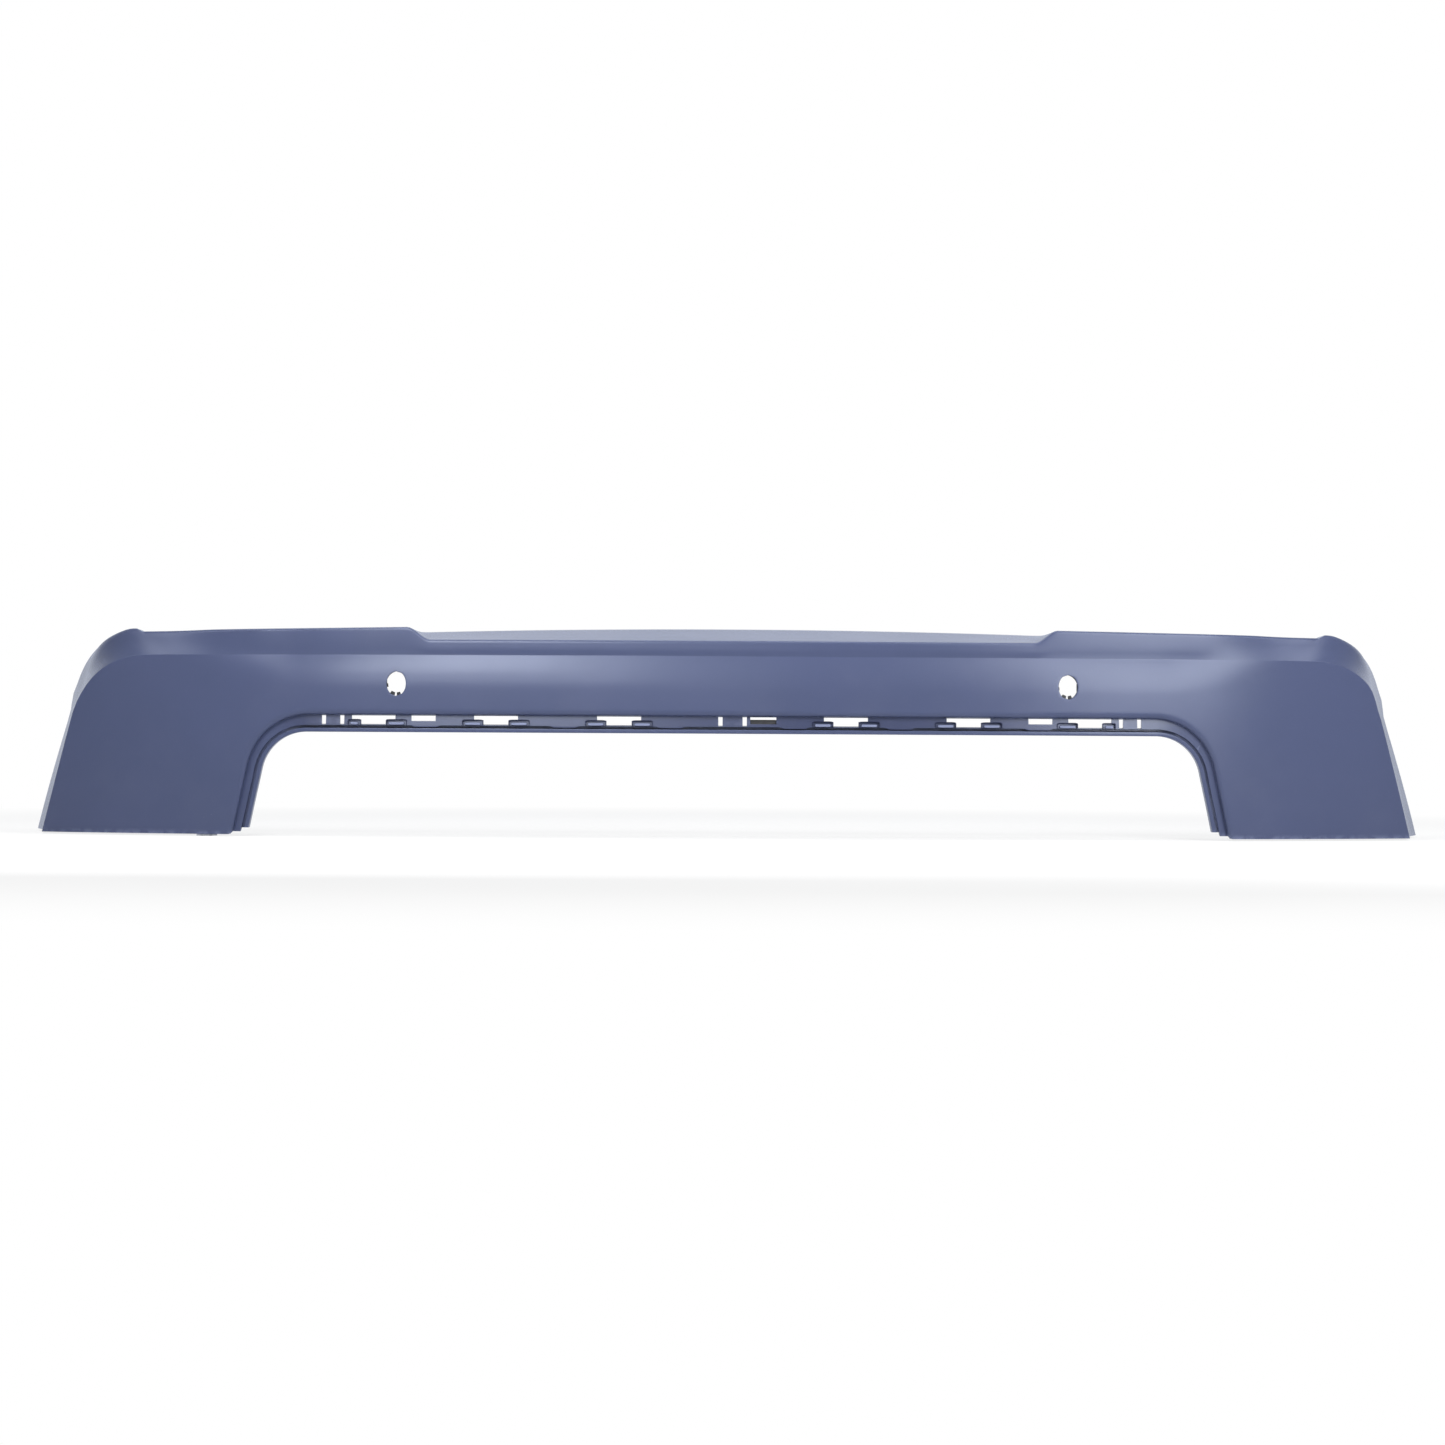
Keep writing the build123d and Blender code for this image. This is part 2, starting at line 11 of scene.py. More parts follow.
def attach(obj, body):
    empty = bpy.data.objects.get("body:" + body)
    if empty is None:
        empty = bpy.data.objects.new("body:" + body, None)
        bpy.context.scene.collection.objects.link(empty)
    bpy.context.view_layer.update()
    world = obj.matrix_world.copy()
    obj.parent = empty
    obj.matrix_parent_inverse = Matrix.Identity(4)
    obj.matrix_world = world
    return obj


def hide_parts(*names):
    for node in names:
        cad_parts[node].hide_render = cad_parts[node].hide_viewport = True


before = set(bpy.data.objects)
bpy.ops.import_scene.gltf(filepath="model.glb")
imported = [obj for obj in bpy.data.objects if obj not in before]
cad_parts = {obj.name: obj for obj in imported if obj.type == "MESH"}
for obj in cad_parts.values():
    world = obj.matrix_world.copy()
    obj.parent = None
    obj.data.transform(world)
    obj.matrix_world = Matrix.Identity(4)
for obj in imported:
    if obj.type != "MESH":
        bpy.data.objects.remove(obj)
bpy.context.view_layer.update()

bl_info = {
    "name": "Rear bumper cover",
    "version": (1, 0, 0),
    "blender": (4, 5, 0),
    "location": "View3D > Sidebar > Bumper",
    "description": "Rear bumper cover with its clips and sensor holders, and a plain studio",
    "category": "Object",
}

MM = 0.001
TINY = 1e-9
FAR = 1e6

# ---- the cover's sizes, in millimetres -------------------------------------------------------
# An outline is (half width at the foot, height of its level top, corner radius).
WALL = 3.0
REST = 2.5
HALF_DEPTH = 168.75
RAKE_ANGLE = math.radians(13.0)
RAKE = math.tan(RAKE_ANGLE)
LIP_LINE = (622.0, 134.3, 60.0)
FACE_LINE = (641.0, 157.0, 82.0)
CREASE_LINE = (889.5, 232.5, 100.0)
OUTER_LINE = (938.5, 263.0, 135.0)
# The sections of a corner fan out from this point.
PIVOT_X = 622.0 - 133.0 * RAKE - 60.0 / math.tan(math.radians(51.5))
PIVOT_Z = 75.5
BEAM_STEP, FAN_STEP, LEG_STEP = 11.0, 2.2, 7.0

# Face: bow, turn at its ends, crown, and swell under the crease.
BOW_RADIUS = 4600.0
TURN_START, TURN_SPAN, TURN_DEPTH = 450.0, 440.0, 38.0
CROWN_HEIGHT, CROWN_CURVE = 207.5, 0.00022
SWELL, BULGE_HEIGHT, INNER_BULGE = 9.0, 45.0, 25.0
# Lean of the leg's crease: at the foot, its loss over a height, its share by hand, its fade.
LEAN_FOOT, LEAN_LOSS, LEAN_HEIGHT, LEAN_HAND = 6.0, 9.4, 170.0, 4.0
LEAN_FADE = (165.0, 205.0)

# Lip, groove and strip: depths behind the face's edge, and distances up from the lip.
LIP_BACK, LIP_FRONT, GROOVE_DEPTH, GROOVE_LOSS = 22.0, 8.0, 18.0, 6.5
LIP_INNER, GROOVE_INNER, LIP_ROWS = 17.0, 20.0, 10
STRIP_DEPTH, STRIP_LEAN = 9.5, 2.5
LIP_HEIGHT, STRIP_FOOT, STRIP_END = 5.3, 8.5, 0.6
STRIP_ROWS = (0.083, 0.248, 0.413, 0.537, 0.727, 0.950)
LIP_RISE, STRIP_RISE, RISE_HEIGHT = 8.5, 3.6, 40.0
HOOK_DEPTH, HOOK_FOOT, HOOK_LEVEL = 9.0, 142.4, 158.0
HOOK_WIDTH, HOOK_SHORT, HOOK_GAP = 27.0, 17.0, 16.0
# Rings of a hook's hood: (inset from its end, height, how far it stands out, lift of its foot).
HOOK_RINGS = (
    (0.0, 8.4, -3.0, 0.0), (0.0, 8.4, 3.4, 0.0), (0.4, 8.0, 4.0, 0.1), (0.9, 7.6, 4.0, 0.3),
    (1.5, 7.1, -0.5, 0.5), (3.3, 5.0, -0.5, 1.0), (3.6, 4.7, 4.6, 1.2), (4.0, 4.4, 5.0, 1.5),
    (5.0, 3.9, 5.1, 1.9),
)
# Painted shade: its share in the legs' groove and on the beam's strip, and where it fades out of
# the beam into the legs.
LEG_GROOVE_SHADE, STRIP_SHADE, SHADE_FADE = 0.3, 0.55, (540.0, 590.0)

# Shelf, raised shoulders and side walls.
SHOULDER = (385.0, 415.0)
SHELF_TOP, SHELF_SAG, CREST_TOP = 271.0, 5.0, 252.0
RAISED_TOP, RAISED_LOSS, RAISED_RUN = 268.5, 3.5, PIVOT_X - 265.0
BACK_BEAM, BACK_CORNER = 105.0, 62.0
BAND_DEPTH, BAND_LOSS, BAND_REACH, BAND_HOLLOW = 17.0, 18.0, 0.42, 2.0
CREST_SHARE = 0.36
ARCH_FOOT, ARCH_GAIN = 300.0, 36.0
FLANGE_BEAM, FLANGE_LEG, FLANGE_TURN = 16.0, 20.0, 1.5
NOTCH_HEIGHT, NOTCH_SIZE, NOTCH_X = 168.0, 7.0, 850.0
# Ear of the corner by its fan angle, and below it (height, fan angle, spread) of two waves.
EAR_ANGLE = 40.0
EDGE_WAVES = ((-2.2, 26.5, 5.5), (2.6, 16.3, 2.0))
# Fan angles, in degrees, between which a form changes from the leg's to the beam's.
SIDE_ANGLES, WALL_ANGLES = (20.0, 45.0), (18.0, 37.0)
SWELL_ANGLES, GROOVE_ANGLES = (42.0, 86.0), (60.0, 88.0)
LIFT_ANGLES, BAND_ANGLES, HOLLOW_ANGLES = (43.0, 58.0), (34.0, 74.0), (40.0, 88.0)

# Slots of the strip, each side of the middle: (middle, width, top, height).
SLOT_TOP = 155.2
WIDE_SLOTS = (144.0, 300.5, 457.0)
DROPS = (78.7, 212.9, 390.0)
DROP_ENDS = (13.0, 19.5)
CLIP_SLOT = (39.0, 33.0, SLOT_TOP, 8.0)
SIDE_SLOTS = [(c, 56.0, SLOT_TOP, 5.0) for c in WIDE_SLOTS]
SIDE_SLOTS += [(c, 32.0, SLOT_TOP - 5.0, 6.5) for c in WIDE_SLOTS]
SIDE_SLOTS += [(393.0, 31.0, SLOT_TOP, 6.5)]
SIDE_SLOTS += [(c, 5.4, SLOT_TOP, 12.0) for c in (15.4, 497.4, 521.0)]
# Round holes: place, radii, and half width of the block of the grid that is left out.
SENSOR_X, SENSOR_Z = 427.5, 196.0
SENSOR_HOLE, SENSOR_BLOCK, SENSOR_ROWS = (12.25, 15.75), 22.5, (172.0, 220.0)
SCREW_HOLE = (3.0, 3.0)
TOP_HOLES, TOP_BLOCK, TOP_DROP = (150.0, 330.0), 5.0, 9.0
ARCH_HOLES, ARCH_BLOCK, ARCH_INSET = (45.0, 105.0), 6.0, 12.0
# Ledge at the foot: gap to the face's lines, width, and place of its hole.
LEDGE_GAP, LEDGE_WIDTH, LEDGE_BLOCK = 4.0, 24.0, 6.0
LEDGE_HOLE = (34.5, 15.0)
LEDGE_ROWS = (0.0, 0.15, 0.25, 0.4, 0.5, 0.86, 1.0)


def smooth(value, start, end):
    """Smooth step: 3t^2 - 2t^3 of the share t of the way from start to end."""
    t = np.clip((value - start) / (end - start), 0.0, 1.0)
    return t * t * (3 - 2 * t)


def bow(x):
    """Depth of the face in plan: x^2 over twice the bow radius, plus a cubic turn at the ends."""
    past = np.maximum(0.0, np.abs(x) - TURN_START) / TURN_SPAN
    return x * x / (2 * BOW_RADIUS) + TURN_DEPTH * past**3


def face_depth(x, z):
    """Depth of the face: the bow, plus a parabola in height about the face's crown."""
    return bow(x) + CROWN_CURVE * (CROWN_HEIGHT - z) ** 2


def bulge(below, swell, height=BULGE_HEIGHT):
    """Extra depth just under the crease: swell times the square of the share of the way up."""
    return swell * np.maximum(0.0, 1 - below / height) ** 2


def shelf_height(x):
    """Height of the shelf's back edge: its top, less a parabola in x."""
    return SHELF_TOP - SHELF_SAG * (x / SHOULDER[0]) ** 2


def leg_x(foot, z):
    """Half width at height z of a leg line that is foot wide where the cover stands."""
    return foot - (z - REST) * RAKE


def reach(station, line):
    """Distance from each station's origin, along its direction, to a line-arc-line outline.

    The nearer of the raked leg line and the level top counts where it lies on its straight
    part, and otherwise the circle between them: -b + sqrt(b^2 - (f.f - r^2))."""
    ox, oz, dx, dz = station
    foot, top, radius = line
    tangent = radius / math.tan((math.pi / 2 + RAKE_ANGLE) / 2)
    cx = leg_x(foot, top) - tangent
    cz = top - radius
    across = np.maximum(dx + dz * RAKE, TINY)
    leg = (leg_x(foot, oz) - ox) / across
    level = np.where(dz > TINY, (top - oz) / np.maximum(dz, TINY), np.inf)
    fx = ox - cx
    fz = oz - cz
    b = fx * dx + fz * dz
    arc = -b + np.sqrt(np.maximum(b * b - (fx * fx + fz * fz - radius * radius), 0.0))
    on_top = (level <= leg) & (ox + dx * np.minimum(level, FAR) <= cx)
    on_leg = (leg <= level) & (oz + dz * leg <= cz + radius * math.sin(RAKE_ANGLE))
    return np.where(on_top, level, np.where(on_leg, leg, arc))


def fan_angle(z):
    """Angle of the fan whose ray meets the outer edge at height z on the raked leg."""
    return math.degrees(math.atan2(z - PIVOT_Z, leg_x(OUTER_LINE[0], z) - PIVOT_X))


def both_ends(middles, half):
    """The two ends of every span about its middle."""
    return [middle + s * half for middle in middles for s in (-1, 1)]


def spread(fixed, start, end, step, gap):
    """Sorted places: the fixed ones, and even steps between start and end kept gap away."""
    fixed = np.unique(np.round(np.array(fixed, float), 4))
    even = np.arange(start, end, step)
    clear = np.abs(even[:, None] - fixed[None, :]).min(1) > gap
    return np.unique(np.concatenate([fixed, even[clear]]))


def half_stations():
    """Section lines of the right half, from the middle to the foot: origin and direction.

    Upright lines at x in the beam, rays of a fan about the corner's pivot, level lines in the
    leg. They are closer together at the slots' ends, the shoulder, the ear and the notch."""
    edges = [0.0, PIVOT_X] + both_ends([SENSOR_X], SENSOR_BLOCK) + both_ends(TOP_HOLES, TOP_BLOCK)
    edges += list(np.linspace(*SHOULDER, 9))
    for middle, width, _top, _height in SIDE_SLOTS + [CLIP_SLOT]:
        edges += both_ends([middle], width / 2)
    for width in np.linspace(*DROP_ENDS, 5):
        edges += both_ends(DROPS, width)
    edges = sorted(edges)
    edges = [e for i, e in enumerate(edges) if i == 0 or e - edges[i - 1] > 0.45]
    x = spread(edges, 0.0, PIVOT_X, BEAM_STEP, 4.0)
    fixed = [fan_angle(z) for z in both_ends([NOTCH_HEIGHT], NOTCH_SIZE / 2)]
    fixed += [fan_angle(z) for z in both_ends(ARCH_HOLES[1:], ARCH_BLOCK)] + [0.0]
    fixed += list(np.arange(EAR_ANGLE - 16, EAR_ANGLE - 2, 1.0))
    fixed += list(np.arange(EAR_ANGLE - 2, EAR_ANGLE + 2.1, 0.25)) + [EAR_ANGLE + 3, EAR_ANGLE + 5]
    angle = spread(fixed, 0.0, 90.0, FAN_STEP, 0.9)
    angle = angle[angle < 89.9][::-1]
    low = [REST] + both_ends(ARCH_HOLES[:1], ARCH_BLOCK)
    z = spread(low, REST, PIVOT_Z - 3, LEG_STEP, 2.5)[::-1]
    turn = np.radians(angle)
    ox = np.concatenate([x, np.full(len(angle) + len(z), PIVOT_X)])
    oz = np.concatenate([np.zeros(len(x)), np.full(len(angle), PIVOT_Z), z])
    dx = np.concatenate([np.zeros(len(x)), np.cos(turn), np.ones(len(z))])
    dz = np.concatenate([np.ones(len(x)), np.sin(turn), np.zeros(len(z))])
    return ox, oz, dx, dz


def bend(before, corner, after, steps):
    """Rows of a parabola arc: (1-t)^2 before + 2t(1-t) corner + t^2 after."""
    t = np.linspace(0.0, 1.0, steps + 1)[:, None, None]
    return (1 - t) ** 2 * before + 2 * t * (1 - t) * corner + t * t * after


def straight(start, end, steps):
    """Rows on the way from start to end, the end itself left out."""
    return start + (end - start) * (np.arange(steps)[:, None, None] / steps)


def rounded(keys, rounding, straights, bends):
    """Rows of a path through the keys, with each inner corner cut by a parabola arc.

    keys are (stations, 2) arrays, rounding the arc's reach along both legs of each corner."""
    rows = []
    here = keys[0]
    for before, corner, after, size, steps, turns in zip(
        keys, keys[1:], keys[2:], rounding, straights, bends
    ):
        back = before - corner
        on = after - corner
        back /= np.linalg.norm(back, axis=1, keepdims=True)
        on /= np.linalg.norm(on, axis=1, keepdims=True)
        size = np.reshape(size, (-1, 1))
        rows.append(straight(here, corner + back * size, steps))
        rows.append(bend(corner + back * size, corner, corner + on * size, turns)[:-1])
        here = corner + on * size
    rows += [straight(here, keys[-1], straights[-1]), keys[-1][None]]
    return np.concatenate(rows)


def key(radius, depth):
    """Points (distance along the section line, depth), one for each section."""
    return np.stack(np.broadcast_arrays(radius, depth), -1).astype(float)


def crease_lean(z, hand):
    """How far the leg's crease stands out from its line: more at the foot, and less on the
    right side, fading into the corner."""
    lean = LEAN_FOOT - LEAN_LOSS * z / LEAN_HEIGHT - LEAN_HAND * hand
    return lean * (1 - smooth(z, *LEAN_FADE))


class Sections:
    """The section lines of one half, with their distances to the cover's outlines.

    side is 1 in the leg and 0 in the beam, and wall_side the same for the side wall's crest.
    The swell under the crease runs out in the corner."""

    def __init__(self, station, hand):
        self.ox, self.oz, self.dx, self.dz = station
        self.upright = self.dx < TINY
        self.angle = np.degrees(np.arctan2(self.dz, self.dx))
        self.lip, self.edge, crease, self.outer = (
            reach(station, line) for line in (LIP_LINE, FACE_LINE, CREASE_LINE, OUTER_LINE)
        )
        self.crease = crease + self.off_beam(crease_lean(self.oz + self.dz * crease, hand))
        self.side = self.off_beam(1 - smooth(self.angle, *SIDE_ANGLES))
        self.wall_side = self.off_beam(1 - smooth(self.angle, *WALL_ANGLES))
        self.swell = SWELL * smooth(self.angle, *SWELL_ANGLES)
        self.edge_depth = self.depth_at(self.edge)
        self.crease_depth = self.depth_at(self.crease) + self.swell
        along = np.maximum(0.0, self.ox + self.dx * self.outer - SHOULDER[1])
        self.raised = RAISED_TOP - RAISED_LOSS * np.minimum(1.0, along / RAISED_RUN)

    def off_beam(self, value):
        """The value in the corner and the leg, and 0 in the beam."""
        return np.where(self.upright, 0.0, value)

    def depth_at(self, radius):
        return face_depth(self.ox + self.dx * radius, self.oz + self.dz * radius)

    def face_at(self, radius):
        return self.depth_at(radius) + bulge(self.crease - radius, self.swell)


def beam_top(s):
    """Crest and back edge in the beam: the low shelf, and past the shoulder the raised part."""
    shoulder = smooth(s.ox, *SHOULDER)
    crest = CREST_TOP + (s.raised - CREST_TOP) * shoulder - s.oz
    shelf = shelf_height(s.ox)
    back = shelf + (s.raised - WALL - shelf) * shoulder - s.oz
    narrowing = (BACK_BEAM - BACK_CORNER) * smooth(s.ox, SHOULDER[1], PIVOT_X)
    return key(crest, s.crease_depth - 1.0), key(back, s.crease_depth + BACK_BEAM - narrowing)


def corner_top(s, sizes):
    """Crest and back edge in the corner and the leg, with the ear and the wheel arch's edge.

    The ear climbs slowly from below and drops at once towards the top edge. The arch's edge
    runs back by a power of the height up to the notch, and the body seam forward above it."""
    lift = (s.raised - OUTER_LINE[1]) * smooth(s.angle, *LIFT_ANGLES)
    climb = np.exp(-((np.minimum(s.angle - EAR_ANGLE, 0.0) / sizes.ear_rise_angle) ** 2))
    fall = 1 - smooth(s.angle, EAR_ANGLE + 0.2, EAR_ANGLE + sizes.ear_drop_angle)
    for height, middle, width in EDGE_WAVES:
        lift = lift + height * np.exp(-(((s.angle - middle) / width) ** 2))
    end = s.outer + lift + sizes.ear / MM * climb * fall
    share = CREST_SHARE * s.wall_side + 1 - s.wall_side
    crest = s.crease + (end - s.crease) * share
    plain = s.crease + (s.outer + lift - s.crease) * share
    top = np.minimum(s.oz + s.dz * s.outer, OUTER_LINE[1])
    climb = (np.minimum(top, NOTCH_HEIGHT) - REST) / (NOTCH_HEIGHT - REST)
    arch = ARCH_FOOT + ARCH_GAIN * np.maximum(climb, 0.0) ** 1.6
    seam = np.maximum(0.0, top - NOTCH_HEIGHT) / (OUTER_LINE[1] - NOTCH_HEIGHT)
    arch = arch + (s.crease_depth + BACK_CORNER - arch) * seam**1.25
    back_depth = arch * s.side + (s.crease_depth + BACK_CORNER) * (1 - s.side)
    depth = s.crease_depth + BAND_DEPTH - BAND_LOSS * smooth(s.angle, *BAND_ANGLES)
    depth = depth + BAND_REACH * (arch - s.crease_depth) * s.side
    depth = s.crease_depth + (depth - s.crease_depth) * (crest - s.crease) / (plain - s.crease)
    return key(crest, depth), key(end - WALL * (1 - s.side), back_depth)


def lip_and_strip(s):
    """Rows of the lip and the groove, and of the recessed strip up to its inner corner."""
    drop = np.zeros(len(s.ox))
    for middle in DROPS:
        near = 1 - smooth(np.abs(s.ox - middle), *DROP_ENDS)
        drop = np.maximum(drop, np.where(s.upright, near, 0.0))
    lip_top = s.lip + LIP_HEIGHT
    groove_top = s.lip + STRIP_FOOT - 2.0 * drop
    groove_loss = GROOVE_LOSS * s.off_beam(1 - smooth(s.angle, *GROOVE_ANGLES))
    groove = s.edge_depth + GROOVE_DEPTH - groove_loss
    width = s.edge - 1.0 - s.lip
    start = s.lip + STRIP_FOOT + STRIP_END

    def strip_at(radius):
        share = (radius - s.lip - STRIP_FOOT) / (width - STRIP_FOOT)
        return s.edge_depth + STRIP_DEPTH - STRIP_LEAN * (1 - share)

    lower = rounded(
        [
            key(s.lip, s.edge_depth + LIP_BACK),
            key(s.lip, s.edge_depth + LIP_FRONT),
            key(lip_top, s.edge_depth + LIP_FRONT),
            key(lip_top + 0.3, groove),
            key(groove_top, groove),
            key(groove_top, strip_at(groove_top)),
            key(start, strip_at(start)),
        ],
        rounding=[1.0, 0.9, 0.12, 0.12, 0.18],
        straights=[2, 2, 3, 1, 2, 1],
        bends=[3, 3, 1, 1, 2],
    )
    levels = start + (width - STRIP_FOOT - STRIP_END) * np.array(STRIP_ROWS)[:, None]
    return lower, np.stack([levels, strip_at(levels)], -1)


def step_and_roll(s, inner_corner, roll):
    """Rows of the step from the strip, up its wall, and round the roll to the face's start."""
    top = key(s.edge - 1.0, s.edge_depth + STRIP_DEPTH)
    corner = key(s.edge, s.edge_depth)
    wall_start = corner + (top - corner) * (roll / STRIP_DEPTH)
    face_start = key(s.edge + roll, s.face_at(s.edge + roll))
    step_start = top + (wall_start - top) * 0.08
    half_way = step_start + (wall_start - step_start) * 0.5
    step = np.concatenate([bend(inner_corner, top, step_start, 3)[1:], half_way[None]])
    return step, bend(wall_start, corner, face_start, 9)


def inner_side(s, outer_rows, lower, strip_rows, radii, face_row):
    """Inner rows: the wall's thickness behind the outer ones, square to them.

    Round the lip and the strip they keep to plain depths. Behind the face the wall thins under
    the crease, where the outer side swells further down."""
    tangent = np.gradient(outer_rows, axis=0)
    tangent /= np.linalg.norm(tangent, axis=2, keepdims=True)
    inner_rows = outer_rows + WALL * np.stack([-tangent[..., 1], tangent[..., 0]], -1)
    n = len(lower)
    least = np.where(np.arange(n)[:, None] < LIP_ROWS, LIP_INNER, GROOVE_INNER)
    depth = np.maximum(np.clip(lower[..., 1] - s.edge_depth, LIP_INNER, LIP_BACK), least)
    radius = np.maximum(lower[..., 0] + 1.2, s.lip + WALL)
    radius = np.maximum.accumulate(radius, axis=0)
    inner_rows[:n] = np.stack([radius, s.edge_depth + depth], -1)
    m = n + len(strip_rows)
    inner_rows[n:m, :, 0] = np.maximum(strip_rows[..., 0], radius[-1] + 0.1)
    inner_rows[n:m, :, 1] = s.edge_depth + STRIP_DEPTH + WALL
    below = s.crease - radii
    slope = 2 * s.swell / INNER_BULGE * np.maximum(0.0, 1 - below / INNER_BULGE)
    depth = s.depth_at(radii) + bulge(below, s.swell, INNER_BULGE) + WALL * np.sqrt(1 + slope**2)
    inner_rows[face_row : face_row + len(radii)] = np.stack([radii, depth], -1)
    return inner_rows


def skin_profile(s, sizes):
    """Outer and inner rows of the moulding in every section, as (rows, stations, 2) arrays.

    Each row holds (distance along the section line, depth). The outer side runs from the
    lip's back edge round the lip, through the groove and the recessed strip, over the rolled
    edge, up the face, round the crease and crest, and back to the free edge of the flange."""
    lower, strip_rows = lip_and_strip(s)
    roll = sizes.roll / MM
    step, roll_rows = step_and_roll(s, strip_rows[-1], roll)
    # face, from the roll to the crease
    crease_size = sizes.crease / MM * (1 + 1.2 * s.side)
    face_end = s.crease - crease_size
    share = np.linspace(0.0, 1.0, 27)[1:-1, None]
    radii = s.edge + roll + (face_end - s.edge - roll) * share
    face = np.stack([radii, s.face_at(radii)], -1)
    # crease, crest, shelf or side wall, and flange
    in_beam = s.upright[:, None]
    crest_key, back_key = (
        np.where(in_beam, beam, corner) for beam, corner in zip(beam_top(s), corner_top(s, sizes))
    )
    crease_key = key(s.crease, s.crease_depth)
    flange = FLANGE_LEG * s.side + FLANGE_BEAM * (1 - s.side)
    free_key = back_key + key(-flange, FLANGE_TURN)
    band = np.linalg.norm(crest_key - crease_key, axis=1)
    shelf = np.linalg.norm(back_key - crest_key, axis=1)
    crest_size = sizes.crest / MM
    crest_size = crest_size + (0.46 * np.minimum(band, shelf) - crest_size) * s.side
    after = (crest_key - crease_key) / band[:, None]
    crease_rows = bend(
        key(face_end, s.face_at(face_end)), crease_key, crease_key + after * crease_size[:, None], 5
    )
    upper = rounded(
        [crease_rows[-1], crest_key, back_key, free_key],
        rounding=[crest_size, sizes.fold / MM],
        straights=[4, 10, 1],
        bends=[8, 5],
    )[:-1]
    climb = np.linspace(0.0, 1.0, 5)[1:, None]
    upper[1:5, :, 1] -= BAND_HOLLOW * climb * (1 - climb) * smooth(s.angle, *HOLLOW_ANGLES)
    shares = np.array([0.18, 0.5, 0.86, 1.0])[:, None, None]
    flange_rows = upper[-1] + (free_key - upper[-1]) * shares

    parts = [lower, strip_rows, step, roll_rows, face, crease_rows, upper[1:], flange_rows]
    outer_rows = np.concatenate(parts)
    starts = np.cumsum([len(part) for part in parts]).tolist()
    marks = dict(zip(("strip", "step", "roll", "face", "crease", "upper", "flange"), starts))
    # the strip and the flange start at the last row of the part before
    marks["strip"] -= 1
    marks["flange"] -= 1
    marks["groove"] = marks["strip"] - 5
    return outer_rows, inner_side(s, outer_rows, lower, strip_rows, radii, marks["face"]), marks


def place(s, rows, marks):
    """Points (stations, rows, 3) in metres of section rows: along the section line, and depth.

    At the foot the lip and the strip end above the face: their rows rise along the raked leg,
    by less and less up to a certain height, and the roll eases down to the face."""
    row = np.arange(len(rows))[:, None]
    rise = np.where(row < marks["strip"] - 1, LIP_RISE, STRIP_RISE)
    past = np.clip((row - marks["roll"]) / (marks["face"] - marks["roll"]), 0.0, 1.0)
    low = np.clip(1 - (s.oz - REST) / RISE_HEIGHT, 0.0, 1.0) * (s.dz == 0)
    rise = rise * (1 - past) ** 2 * low
    x = s.ox + s.dx * rows[..., 0] - rise * RAKE
    z = s.oz + s.dz * rows[..., 0] + rise
    points = np.stack([x, rows[..., 1] - HALF_DEPTH, z], -1)
    return points.transpose(1, 0, 2) * MM


def ring_patch(shell, loop, centre, radii, axes, depth_of, steps, edge):
    """Fills the space between a block's border and a round hole with rings.

    A ring point is (1-s) border + s ellipse at the border point's own angle, where the
    ellipse is centre + (a cos, b sin). depth_of gives the third coordinate, and the last rings
    roll into the hole over the edge size."""
    a, b = axes
    border = shell["outer"][loop]
    offset = shell["inner"][loop] - border
    flat = border[:, [a, b]]
    turn = np.arctan2((flat[:, 1] - centre[1]) / radii[1], (flat[:, 0] - centre[0]) / radii[0])
    round_way = np.stack([np.cos(turn), np.sin(turn)], 1)
    shares = [(s, 0.0) for s in np.linspace(0, 1, steps + 1)[1:]]
    shares += [(1.0, 0.35), (1.0, 0.75), (1.0, 1.0)]
    mean = offset.mean(0)
    inwards = mean / np.linalg.norm(mean) * edge
    previous = np.asarray(loop)
    for s, roll in shares:
        hole = np.asarray(centre) + round_way * (np.asarray(radii) + edge * (1 - roll))
        spot = flat * (1 - s) + hole * s
        point = np.zeros((len(loop), 3))
        point[:, [a, b]] = spot
        point[:, 3 - a - b] = depth_of(spot[:, 0], spot[:, 1])
        back = point + offset * (1 - s) + mean * s
        point += inwards * (1 - math.sqrt(max(0.0, 1 - roll * roll)))
        now = len(shell["outer"]) + np.arange(len(loop))
        quads = np.stack([previous, np.roll(previous, -1), np.roll(now, -1), now], 1)
        for part, more in (("outer", point), ("inner", back), ("quads", quads)):
            shell[part] = np.concatenate([shell[part], more])
        previous = now


def block_loop(first, last, low, high, rows):
    """Indices round a block of grid points, stations first to last and rows low to high."""
    i = np.arange(first, last)
    j = np.arange(low, high)
    return np.concatenate(
        [i * rows + low, last * rows + j, (i + 1)[::-1] * rows + high, first * rows + (j + 1)[::-1]]
    )


def thicken(shell):
    """Closed surface of a wall: outer faces, inner faces turned round, and a rim on every edge
    that only one outer face uses. The faces are turned round if its volume is negative."""
    count = len(shell["outer"])
    quads = shell["quads"]
    sides = np.concatenate([quads[:, [i, (i + 1) % 4]] for i in range(4)])
    forward = sides[:, 0].astype(np.int64) * count + sides[:, 1]
    reverse = sides[:, 1].astype(np.int64) * count + sides[:, 0]
    rim = sides[~np.isin(forward, reverse)]
    walls = np.stack([rim[:, 1], rim[:, 0], rim[:, 0] + count, rim[:, 1] + count], 1)
    points = np.concatenate([shell["outer"], shell["inner"]])
    faces = np.concatenate([quads, quads[:, ::-1] + count, walls])
    return points, faces if signed_volume(points, faces) > 0 else faces[:, ::-1]


